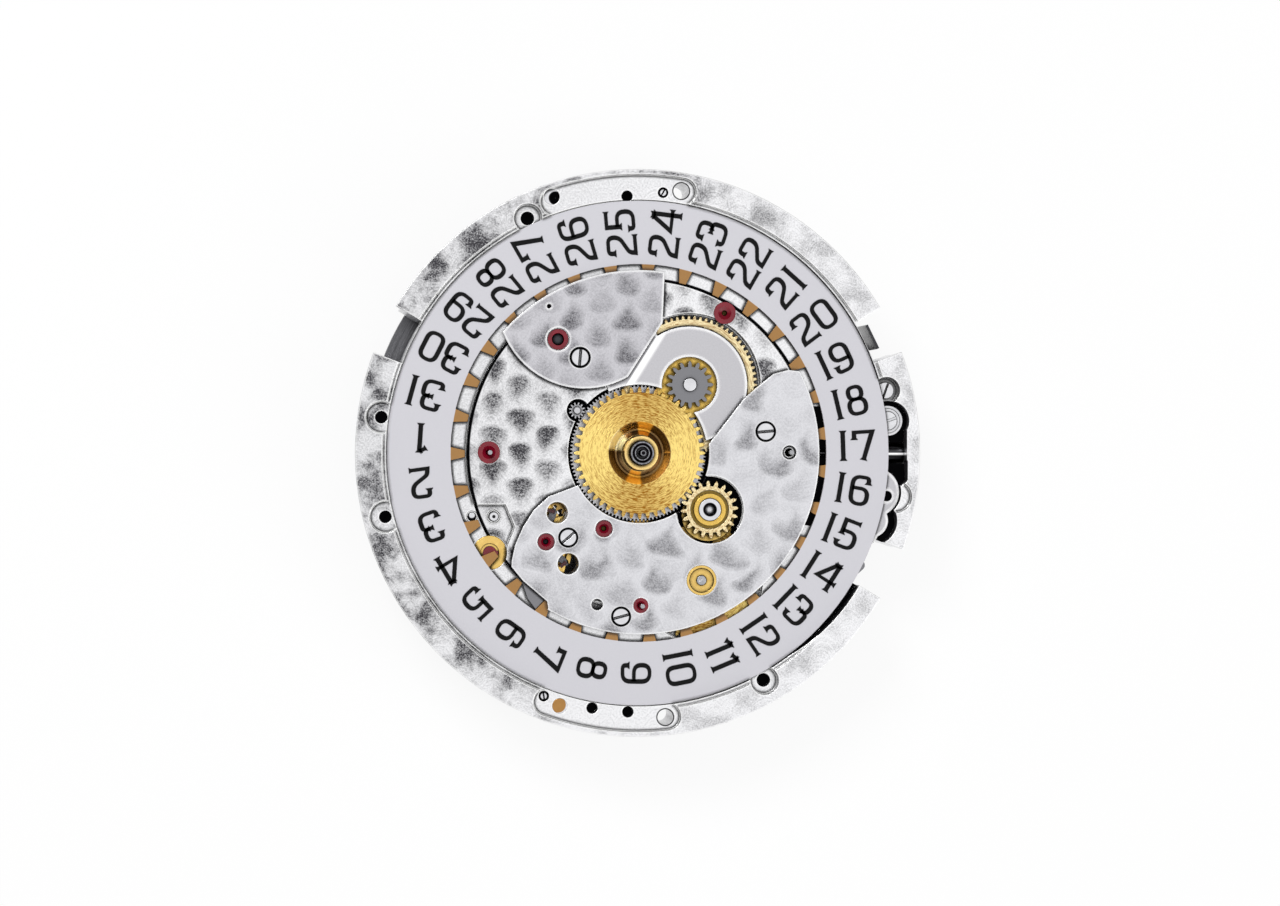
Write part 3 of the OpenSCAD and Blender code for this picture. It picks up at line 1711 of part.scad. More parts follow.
// Post on the winding bridge with the ball ring that the rotor runs on
module rotor_bearing() {
    balls = 11;
    color(steel) {
        rod([0, 0], bearing_shank_r, winding_back_z, winding_bridge_z);
        rod([0, 0], bearing_post_r, rotor_back_z + 0.22, winding_back_z);
        difference() {
            rod([0, 0], 1.1, rotor_back_z + 0.06, rotor_back_z + 0.22);
            translate([0, 0, rotor_back_z + 0.06])
                rotate(35)
                    cube([3, 0.25, 0.16], center = true);
        }
        for (i = [0:balls - 1])
            translate(concat(polar(bearing_post_r + ball_r + 0.01, i * 360 / balls),
                      rotor_back_z + 0.45))
                sphere(r = ball_r, $fn = 24);
    }
}

module rotor() {
    hub_r = 2.2;
    rim_in_r = 12.5;
    color(dark)
        difference() {
            union() {
                layer(rotor_web_z - 0.2, rotor_web_z)
                    difference() {
                        circle(rim_in_r + 0.2);
                        translate([0.6, -20])
                            square(40);
                        for (a = [112, 158, 204])
                            sector(5, 11.4, a - 17, a + 17);
                    }
                layer(rotor_back_z, chrono_bridge_z - chrono_bridge_t - 0.02)
                    difference() {
                        circle(rotor_r);
                        circle(rim_in_r);
                        translate([0.6, -20])
                            square(40);
                    }
                rod([0, 0], hub_r, rotor_back_z, rotor_web_z);
                pinion(
                    [0, 0], rotor_pinion_teeth, rotor_m, rotor_web_z,
                    reversing_z + reversing_t, rotor_pinion_ph
                );
            }
            rod([0, 0], bearing_post_r + fit, -9, 0);
            rod([0, 0], 1.1 + fit, -9, rotor_back_z + 0.24);
            rod([0, 0], bearing_post_r + 2 * ball_r + 0.04, rotor_back_z + 0.3, rotor_back_z + 0.6);
        }
}
main_plate();
date_keeper_plate();
calendar_bridge();
minute_work_cover();
setting_lever_cover();
date_wheel_bush();
shock_settings();
minute_wheel_stud();
intermediate_stud();
bearing_disc();
dial_side_screws();
dial_side_jewels();
plate_pins();
date_jumper();
date_ring();
hour_wheel();
minute_wheel();
minute_pinion();
cannon_pinion();
date_intermediate_wheel();
date_wheel();
date_finger();
hour_counter_drive_wheel();
hour_counter_pinion();
hour_counter_idler();
hour_counter_wheel();
barrel();
mainspring();
ratchet_wheel();
centre_wheel();
third_wheel();
fourth_wheel();
seconds_idler();
small_seconds_wheel();
escape_wheel();
pallet_fork();
pallet_stones();
pallet_bridge();
balance_wheel();
hairspring();
balance_cock();
barrel_bridge();
train_bridge();
bridge_screws();
bridge_jewels();
winding_stem();
winding_pinion();
setting_lever();
crown_wheel();
intermediate_winding_wheel();
column_wheel();
operating_lever();
reset_lever();
chronograph_wheel();
minute_counter_wheel();
chronograph_bridge();
winding_bridge();
reversing_wheel();
rotor_bearing();
rotor();
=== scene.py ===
"""Dresses the watch movement for its portrait: finishes, printed dates, light and camera.

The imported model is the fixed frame. Every node keeps its shape and gets the finish that
the real piece has. The dates on the ring are printed here, as a mesh of their own.
"""

import logging
import math
from dataclasses import dataclass, field, replace
from enum import Enum
from typing import Any, Optional

import bmesh
import bpy
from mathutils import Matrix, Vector


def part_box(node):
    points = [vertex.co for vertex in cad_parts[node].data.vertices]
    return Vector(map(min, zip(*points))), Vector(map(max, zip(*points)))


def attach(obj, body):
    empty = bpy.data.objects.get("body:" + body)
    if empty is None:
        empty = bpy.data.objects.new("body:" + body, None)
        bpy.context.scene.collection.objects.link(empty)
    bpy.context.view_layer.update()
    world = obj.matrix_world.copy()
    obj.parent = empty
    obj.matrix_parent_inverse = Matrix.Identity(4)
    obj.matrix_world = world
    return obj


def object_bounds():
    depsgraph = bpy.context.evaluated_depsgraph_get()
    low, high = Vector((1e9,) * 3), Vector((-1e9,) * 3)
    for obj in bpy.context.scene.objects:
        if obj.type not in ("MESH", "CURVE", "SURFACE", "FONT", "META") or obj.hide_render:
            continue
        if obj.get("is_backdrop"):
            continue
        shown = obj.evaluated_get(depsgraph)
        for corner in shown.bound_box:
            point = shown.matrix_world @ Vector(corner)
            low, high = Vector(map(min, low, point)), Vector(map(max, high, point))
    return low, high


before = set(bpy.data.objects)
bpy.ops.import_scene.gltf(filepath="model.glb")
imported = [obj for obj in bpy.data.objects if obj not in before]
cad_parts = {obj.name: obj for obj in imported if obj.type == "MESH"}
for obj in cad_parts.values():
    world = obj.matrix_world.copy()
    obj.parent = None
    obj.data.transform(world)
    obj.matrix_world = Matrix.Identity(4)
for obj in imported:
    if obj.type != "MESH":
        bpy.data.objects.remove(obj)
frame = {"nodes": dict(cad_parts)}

LOG = logging.getLogger("movement")
MM = 0.001
# Millimetres that no piece reaches, for a limit that isn't wanted
FAR = 90.0
# A length too short to have a direction
TINY = 1e-9
WHITE = "#ffffff"
# The black of the painted shade in sunk places and shade rings
SHADE_BLACK = "#060607"

Tree = bpy.types.NodeTree
Socket = bpy.types.NodeSocket
Point = tuple[float, float]
Place = tuple[Socket, Socket, Socket]
# Where a fade begins and ends, and the values there if they aren't 0 and 1
Fade = tuple[float, ...]
# A noise's clouds per millimetre, its detail and its roughness
Noise = tuple[float, ...]


def linear(colour: str) -> tuple[float, float, float, float]:
    """Turns an sRGB hex colour into the linear values that Blender uses.

    Args:
        colour: Six hex digits after a hash sign.

    Returns:
        Red, green and blue in linear light, and an alpha of 1.
    """
    levels = [int(colour[i : i + 2], 16) / 255 for i in (1, 3, 5)]
    red, green, blue = (
        v / 12.92 if v <= 0.04045 else ((v + 0.055) / 1.055) ** 2.4 for v in levels
    )
    return red, green, blue, 1.0


@dataclass(frozen=True)
class Recipe:
    """One way to use a node: Blender's name, settings, inputs in order and one output."""

    node: str
    settings: tuple[tuple[str, Any], ...] = ()
    slots: tuple[int | str, ...] = (0, 1, 2)
    output: int | str = 0


def arithmetic(operation: str) -> Recipe:
    """Gives the recipe of one piece of arithmetic."""
    return Recipe("ShaderNodeMath", (("operation", operation),))


def colour_mix(blend: str) -> Recipe:
    """Gives the recipe of a mix of two colours, in the order share, first and second."""
    settings = (("data_type", "RGBA"), ("blend_type", blend), ("clamp_factor", True))
    return Recipe("ShaderNodeMix", settings, (0, 6, 7), 2)


class Kind(Enum):
    """The nodes that the materials are made of."""

    ADD = arithmetic("ADD")
    SUBTRACT = arithmetic("SUBTRACT")
    MULTIPLY = arithmetic("MULTIPLY")
    DIVIDE = arithmetic("DIVIDE")
    MULTIPLY_ADD = arithmetic("MULTIPLY_ADD")
    MAXIMUM = arithmetic("MAXIMUM")
    ROOT = arithmetic("SQRT")
    FLOOR = arithmetic("FLOOR")
    ABSOLUTE = arithmetic("ABSOLUTE")
    TO_AND_FRO = arithmetic("PINGPONG")
    SINE = arithmetic("SINE")
    COSINE = arithmetic("COSINE")
    ANGLE = arithmetic("ARCTAN2")
    FADE = Recipe(
        "ShaderNodeMapRange", (("interpolation_type", "SMOOTHSTEP"),), ("Value", 1, 2, 3, 4)
    )
    NOISE = Recipe(
        "ShaderNodeTexNoise", (("noise_dimensions", "3D"),),
        ("Vector", "Scale", "Detail", "Roughness"),
    )
    JOIN = Recipe("ShaderNodeCombineXYZ")
    SPLIT = Recipe("ShaderNodeSeparateXYZ")
    MIX = colour_mix("MIX")
    DARKEN = colour_mix("MULTIPLY")
    PLACE = Recipe("ShaderNodeTexCoord", output="Object")
    DIRECTION = Recipe("ShaderNodeTexCoord", output="Generated")
    FACE = Recipe("ShaderNodeNewGeometry", output="True Normal")
    ROUNDED = Recipe("ShaderNodeBevel", (("samples", 4),), ("Radius",))
    OPENNESS = Recipe("ShaderNodeAmbientOcclusion", (("samples", 4),), ("Distance",), "AO")
    LIKENESS = Recipe("ShaderNodeVectorMath", (("operation", "DOT_PRODUCT"),), output="Value")
    BUMP = Recipe("ShaderNodeBump", slots=("Height", "Strength", "Distance", "Normal"))
    METAL = Recipe(
        "ShaderNodeBsdfPrincipled", slots=("Base Color", "Metallic", "Roughness", "Normal")
    )
    CRYSTAL = Recipe(
        "ShaderNodeBsdfPrincipled",
        slots=("Base Color", "Roughness", "IOR", "Specular IOR Level", "Transmission Weight"),
    )
    INK = Recipe(
        "ShaderNodeBsdfPrincipled", slots=("Base Color", "Roughness", "Specular IOR Level")
    )
    MATT = Recipe("ShaderNodeBsdfDiffuse", slots=("Color",))
    GLOW = Recipe("ShaderNodeEmission", slots=("Strength",))
    BLEND = Recipe("ShaderNodeMixShader")
    SURROUNDINGS = Recipe("ShaderNodeBackground", slots=("Color", "Strength"))
    SURFACE = Recipe("ShaderNodeOutputMaterial", slots=("Surface",))
    WORLD = Recipe("ShaderNodeOutputWorld", slots=("Surface",))
    CAMERA_RAY = Recipe("ShaderNodeLightPath", output="Is Camera Ray")
    GLOSSY_RAY = Recipe("ShaderNodeLightPath", output="Is Glossy Ray")
    TRANSMISSION_RAY = Recipe("ShaderNodeLightPath", output="Is Transmission Ray")


def add_node(tree: Tree, kind: Kind, *inputs: Any) -> Optional[Socket]:
    """Adds one node with its settings, values and links.

    Args:
        tree: The node tree that gets the node.
        kind: The node and its settings.
        inputs: Values, or sockets to link, in the order of the kind's inputs.

    Returns:
        The output that the kind is used for, or None where a node has no outputs.
    """
    recipe = kind.value
    node = tree.nodes.new(recipe.node)
    for name, value in recipe.settings:
        setattr(node, name, value)
    for slot, value in zip(recipe.slots, inputs):
        if isinstance(value, Socket):
            tree.links.new(value, node.inputs[slot])
        else:
            node.inputs[slot].default_value = value
    return node.outputs[recipe.output] if node.outputs else None


def blank_material(name: str) -> bpy.types.Material:
    """Makes a material whose node tree is empty.

    Args:
        name: The material's name.

    Returns:
        The material, which still needs its nodes.
    """
    made = bpy.data.materials.new(name)
    made.use_nodes = True
    made.node_tree.nodes.clear()
    return made


def place_mm(tree: Tree, centre: Point = (0.0, 0.0)) -> Place:
    """Gives the place on the piece in millimetres, counted from a centre.

    Args:
        tree: The material's node tree.
        centre: The point in the dial's plane that counts as zero.

    Returns:
        The sockets of x, y and z.
    """
    across, up, out = add_node(tree, Kind.SPLIT, add_node(tree, Kind.PLACE)).node.outputs
    x = add_node(tree, Kind.MULTIPLY_ADD, across, 1 / MM, -centre[0])
    y = add_node(tree, Kind.MULTIPLY_ADD, up, 1 / MM, -centre[1])
    z = add_node(tree, Kind.MULTIPLY, out, 1 / MM)
    return x, y, z


def length(tree: Tree, x: Socket, y: Socket) -> Socket:
    """Gives the length of the line from zero to a point.

    Args:
        tree: The material's node tree.
        x: The point's first coordinate.
        y: The point's second coordinate.

    Returns:
        The socket of the length.
    """
    squares = [add_node(tree, Kind.MULTIPLY, side, side) for side in (x, y)]
    return add_node(tree, Kind.ROOT, add_node(tree, Kind.ADD, *squares))


def turned(tree: Tree, x: Socket, y: Socket, degrees: float) -> tuple[Socket, Socket]:
    """Gives a point in axes that are turned by an angle.

    Args:
        tree: The material's node tree.
        x: The point's first coordinate.
        y: The point's second coordinate.
        degrees: The angle, counter-clockwise.

    Returns:
        The sockets of the place along and across the turned axes.
    """
    c, s = math.cos(math.radians(degrees)), math.sin(math.radians(degrees))
    along = add_node(tree, Kind.MULTIPLY_ADD, x, c, add_node(tree, Kind.MULTIPLY, y, s))
    across = add_node(tree, Kind.MULTIPLY_ADD, y, c, add_node(tree, Kind.MULTIPLY, x, -s))
    return along, across


@dataclass(frozen=True)
class OilRing:
    """A ring of black painted shade round a screw, a hole or a wheel, in millimetres."""

    x: float
    y: float
    inside: float
    outside: float
    below: float = FAR
    edge: float = 0.02
    drop: float = 0.04

    def mask(self, tree: Tree, place: Place) -> Socket:
        """Gives where the ring lies.

        Args:
            tree: The material's node tree.
            place: The place on the piece, in millimetres.

        Returns:
            1 between the ring's radii and below its height, and 0 elsewhere.
        """
        x, y, z = place
        away = length(
            tree,
            add_node(tree, Kind.SUBTRACT, x, self.x),
            add_node(tree, Kind.SUBTRACT, y, self.y),
        )
        ring = add_node(
            tree, Kind.MULTIPLY,
            add_node(tree, Kind.FADE, away, self.inside - self.edge, self.inside + self.edge),
            add_node(tree, Kind.FADE, away, self.outside + self.edge, self.outside - self.edge),
        )
        low = add_node(tree, Kind.FADE, z, self.below + self.drop, self.below)
        return add_node(tree, Kind.MULTIPLY, ring, low)


@dataclass(frozen=True)
class PolishedStrip:
    """A painted highlight strip on the right of a line from start to end, in millimetres.

    It fades out at both ends, and on its far side between two shares of its width.
    """

    start: Point
    end: Point
    width: float
    end_fade: float = 0.1
    near_edge: float = 0.02
    far_edge: Point = (1.5, 0.7)

    def mask(self, tree: Tree) -> Socket:
        """Gives where the strip lies.

        Args:
            tree: The material's node tree.

        Returns:
            1 on the strip and 0 elsewhere.
        """
        run = (self.end[0] - self.start[0], self.end[1] - self.start[1])
        reach = math.hypot(*run)
        x, y, _ = place_mm(tree, self.start)
        along, across = turned(tree, x, y, math.degrees(math.atan2(run[1], run[0])))
        begun = add_node(tree, Kind.FADE, along, -self.end_fade, self.end_fade)
        going = add_node(tree, Kind.FADE, along, reach + self.end_fade, reach - self.end_fade)
        past_line = add_node(tree, Kind.FADE, across, self.near_edge, 0.0)
        limits = [-share * self.width for share in self.far_edge]
        near_line = add_node(tree, Kind.FADE, across, *limits)
        return add_node(
            tree, Kind.MULTIPLY,
            add_node(tree, Kind.MULTIPLY, begun, going),
            add_node(tree, Kind.MULTIPLY, past_line, near_line),
        )


@dataclass(frozen=True)
class Hub:
    """The middle of a turned piece, inside a radius: an arbor, a bush or bare metal.

    Its marks show in a dimmer shade of its own colour.
    """

    radius: float
    colour: str = "#b4b5b9"
    roughness: float = 0.12
    dimming: float = 0.55
    marked: float = 0.5
    edge: float = 0.015

    def look(self, tree: Tree, place: Place, marks: Socket) -> tuple[Socket, Any]:
        """Gives the hub's own colour and roughness.

        Args:
            tree: The material's node tree.
            place: The place counted from the hub's axis, in millimetres. It is not used here.
            marks: The grain's pattern.

        Returns:
            The colour's socket, and the roughness as a number or a socket.
        """
        light = linear(self.colour)
        dim = tuple(self.dimming * part for part in light[:3]) + (1.0,)
        share = add_node(tree, Kind.MULTIPLY, marks, self.marked)
        return add_node(tree, Kind.MIX, share, light, dim), self.roughness

    def lay(
        self, tree: Tree, place: Place, marks: Socket, colour: Socket, rough: Socket
    ) -> tuple[Socket, Socket]:
        """Lays the hub's look over the look of the piece.

        Args:
            tree: The material's node tree.
            place: The place counted from the hub's axis, in millimetres.
            marks: The grain's pattern.
            colour: The piece's colour.
            rough: The piece's roughness.

        Returns:
            The sockets of colour and roughness.
        """
        own_colour, own_rough = self.look(tree, place, marks)
        outside = add_node(
            tree, Kind.FADE, length(tree, *place[:2]),
            self.radius - self.edge, self.radius + self.edge,
        )
        step = add_node(tree, Kind.SUBTRACT, rough, own_rough)
        return (
            add_node(tree, Kind.MIX, outside, own_colour, colour),
            add_node(tree, Kind.MULTIPLY_ADD, outside, step, own_rough),
        )


@dataclass(frozen=True)
class Dish(Hub):
    """A polished dish round a pipe, with an amber painted reflection on two sides and a pale
    one.

    Each painted reflection is given by its direction in degrees and by the fade of a cosine
    round it.
    """

    pipe_radius: float = 0.97
    pipe_colour: str = "#f8d68c"
    pipe_edge: float = 0.01
    amber: str = "#ffb845"
    amber_turn: float = 78.0
    amber_fade: Fade = (0.8, 0.93)
    pale: str = "#fff2c4"
    pale_turn: float = 152.0
    pale_fade: Fade = (0.9, 0.97)
    field_roughness: float = 0.33

    def look(self, tree: Tree, place: Place, marks: Socket) -> tuple[Socket, Any]:
        """Gives the dish's and the pipe's colour with the painted reflections, and the
        roughness.

        Args:
            tree: The material's node tree.
            place: The place counted from the pipe's axis, in millimetres.
            marks: The grain's pattern.

        Returns:
            The sockets of colour and roughness.
        """
        colour, rough = super().look(tree, place, marks)
        x, y, _ = place
        angle = add_node(tree, Kind.ANGLE, y, x)
        # Painted reflections: twice the angle gives two amber ones that face each other
        doubled = add_node(
            tree, Kind.MULTIPLY_ADD, angle, 2.0, -2.0 * math.radians(self.amber_turn)
        )
        single = add_node(tree, Kind.ADD, angle, -math.radians(self.pale_turn))
        amber = add_node(
            tree, Kind.FADE, add_node(tree, Kind.COSINE, doubled), *self.amber_fade
        )
        pale = add_node(tree, Kind.FADE, add_node(tree, Kind.COSINE, single), *self.pale_fade)
        colour = add_node(tree, Kind.MIX, amber, colour, linear(self.amber))
        colour = add_node(tree, Kind.MIX, pale, colour, linear(self.pale))
        bright = add_node(tree, Kind.MAXIMUM, amber, pale)
        past_pipe = add_node(
            tree, Kind.FADE, length(tree, x, y),
            self.pipe_radius - self.pipe_edge, self.pipe_radius + self.pipe_edge,
        )
        return (
            add_node(tree, Kind.MIX, past_pipe, linear(self.pipe_colour), colour),
            add_node(tree, Kind.MULTIPLY_ADD, bright, self.field_roughness, rough),
        )


@dataclass(frozen=True)
class Spots:
    """Round spots that were ground one by one, and how they lie on a plate.

    Each spot covers a part of its neighbours, so what shows of it is a dark fan that runs
    out in a point; the fan's shape is the spots' own grain, and its darkness is painted
    shade. A narrow rim holds parts of spots only, which show as clouds. The plate and its
    clouds are painted darker towards the left as painted shade. Lengths are in
    millimetres, and strengths in shares of the darkest mark.
    """

    wide: float = 1.45
    high: float = 1.8
    sway: float = 0.9
    faintest: float = 0.35
    strongest: float = 1.0
    boss_radius: float = FAR
    rim_radius: float = FAR
    smudge: float = 0.0
    # How much painted shade darkens the plate towards the left
    darker_left: float = 0.0
    # How the columns wander, and how a fan bows, spreads and narrows to its point
    sway_per_mm: float = 0.45
    sway_detail: float = 1.0
    bow: float = 0.5
    spread: float = 0.84
    narrowing: float = 0.92
    fan_fade: Fade = (0.42, -0.48)
    point_fade: Fade = (0.0, 0.45, 0.3, 1.0)
    top_fade: Fade = (1.0, 0.78)
    luck_seed: float = 0.3
    luck_scale: float = 0.83
    luck_fade: Fade = (0.3, 0.58)
    # The clouds of the rim are its grain; they are painted stronger on the left as painted
    # shade, and stay off the walls
    leftward: Point = (0.9, -0.35)
    cloud_layer: float = 7.0
    cloud_noise: Noise = (0.75, 3.0, 0.6)
    cloud_fade: Fade = (0.36, 0.72)
    cloud_left: Fade = (7.0, -7.0, 0.4, 1.0)
    cloud_height: Fade = (-0.24, -0.22)
    rim_edge: float = 0.2
    boss_edge: float = 0.3
    # The grit, the ground between the spots, the painted shade towards the left and the
    # grinder's rings in each spot
    grit_fade: Fade = (0.34, 0.62, 0.72, 1.18)
    ground_fade: Fade = (0.36, 0.66, -0.06, 0.26)
    left_fade: Fade = (3.0, -15.0)
    ring_noise: Noise = (9.0, 2.0, 0.6)
    ring_fade: Fade = (0.3, 0.75, -0.1, 0.16)

    def clouds(self, tree: Tree, place: Place, to_left: Socket) -> Socket:
        """Gives the rim's clouds, painted stronger on the left as painted shade, and the faint
        smudges inside it.

        Args:
            tree: The material's node tree.
            place: The place counted from the plate's centre, in millimetres.
            to_left: How far the place is to the left, as a falling number.

        Returns:
            The socket of their strength.
        """
        x, y, z = place
        layer = add_node(tree, Kind.JOIN, x, y, self.cloud_layer)
        drift = add_node(tree, Kind.NOISE, layer, *self.cloud_noise)
        cloud = add_node(
            tree, Kind.MULTIPLY,
            add_node(tree, Kind.FADE, drift, *self.cloud_fade),
            add_node(tree, Kind.FADE, to_left, *self.cloud_left),
        )
        on_top = add_node(tree, Kind.FADE, z, *self.cloud_height)
        cloud = add_node(tree, Kind.MULTIPLY, cloud, on_top)
        inside = self.rim_radius - self.rim_edge
        at_rim = add_node(tree, Kind.FADE, length(tree, x, y), inside, self.rim_radius)
        strength = add_node(tree, Kind.FADE, at_rim, 0.0, 1.0, self.smudge, 1.0)
        return add_node(tree, Kind.MULTIPLY, cloud, strength)

    def marks(self, tree: Tree, finish: "Finish") -> Socket:
        """Gives all marks of the ground surface, with its painted shade.

        Args:
            tree: The material's node tree.
            finish: The finish, whose centre, turn, pitch and grain are used.

        Returns:
            A socket that is about 1 where the surface is dark and 0 where it is bright.
        """
        x0, y0, z = place_mm(tree, finish.centre)
        x, y = turned(tree, x0, y0, finish.turn)
        here = add_node(tree, Kind.JOIN, x, y, z)
        wander = add_node(tree, Kind.NOISE, here, self.sway_per_mm, self.sway_detail)
        shift = add_node(tree, Kind.MULTIPLY_ADD, wander, self.sway, -self.sway / 2)
        x = add_node(tree, Kind.ADD, x, shift)

        # Columns of spots, in which every other one stands half a spot higher
        column = add_node(tree, Kind.FLOOR, add_node(tree, Kind.DIVIDE, x, self.wide))
        odd = add_node(tree, Kind.TO_AND_FRO, column, 1.0)
        middle = add_node(tree, Kind.MULTIPLY_ADD, column, self.wide, self.wide / 2)
        aside = add_node(tree, Kind.SUBTRACT, x, middle)
        squared = add_node(tree, Kind.MULTIPLY, aside, aside)
        bowed = add_node(tree, Kind.ADD, y, add_node(tree, Kind.MULTIPLY, squared, self.bow))
        raised = add_node(tree, Kind.MULTIPLY, odd, self.high / 2)
        level = add_node(
            tree, Kind.DIVIDE, add_node(tree, Kind.ADD, bowed, raised), self.high
        )
        row = add_node(tree, Kind.FLOOR, level)
        height = add_node(tree, Kind.SUBTRACT, level, row)

        # The fan: wide at its top, narrow at its point, each one dark by its own luck; its
        # shape is the spot's grain, and its darkness painted shade
        outward = add_node(tree, Kind.ABSOLUTE, aside)
        outward = add_node(tree, Kind.MULTIPLY, outward, 2 * self.spread / self.wide)
        reach = add_node(tree, Kind.MULTIPLY_ADD, height, -self.narrowing, outward)
        spot = add_node(tree, Kind.JOIN, row, column, self.luck_seed)
        luck = add_node(tree, Kind.NOISE, spot, self.luck_scale, 0.0)
        to_centre = length(tree, x0, y0)
        fan = add_node(tree, Kind.FADE, reach, *self.fan_fade)
        for share in (
            add_node(tree, Kind.FADE, height, *self.point_fade),
            add_node(tree, Kind.FADE, height, *self.top_fade),
            add_node(tree, Kind.FADE, luck, *self.luck_fade, self.faintest, self.strongest),
            add_node(
                tree, Kind.FADE, to_centre, self.boss_radius + self.boss_edge, self.boss_radius
            ),
        ):
            fan = add_node(tree, Kind.MULTIPLY, fan, share)

        to_left = add_node(
            tree, Kind.MULTIPLY_ADD, y0, self.leftward[1],
            add_node(tree, Kind.MULTIPLY, x0, self.leftward[0]),
        )
        marks = add_node(tree, Kind.ADD, fan, self.clouds(tree, (x0, y0, z), to_left))
        fine = finish.grain.value
        grit = add_node(tree, Kind.NOISE, here, 1 / finish.pitch, fine.detail, fine.rough)
        marks = add_node(
            tree, Kind.MULTIPLY, marks, add_node(tree, Kind.FADE, grit, *self.grit_fade)
        )
        from_point = length(tree, aside, add_node(tree, Kind.MULTIPLY, height, self.high))
        swirl = add_node(tree, Kind.JOIN, from_point, column, row)
        rings = add_node(tree, Kind.NOISE, swirl, *self.ring_noise)
        for share in (
            add_node(tree, Kind.FADE, grit, *self.ground_fade),
            # Painted shade: darker towards the left
            add_node(tree, Kind.FADE, to_left, *self.left_fade, 0.0, self.darker_left),
            add_node(tree, Kind.FADE, rings, *self.ring_fade),
        ):
            marks = add_node(tree, Kind.ADD, marks, share)
        return marks


@dataclass(frozen=True)
class Marks:
    """The finer detail of a grain's marks, and their width as a share of their length."""

    detail: float
    rough: float
    slender: float = 1.0


class Grain(Enum):
    """How a surface was worked, which is what its pattern shows."""

    # Fine and matt, without direction
    BLASTED = Marks(4.0, 0.6)
    # Brushed along one direction
    STRAIGHT = Marks(3.0, 0.6, 0.06)
    # Brushed round the piece's own axis
    CIRCULAR = Marks(3.0, 0.7, 0.42)
    # Ground in overlapping round spots
    SPOTTED = Marks(3.0, 0.8)
    # Polished, with the faintest marks
    POLISHED = Marks(1.0, 0.6)


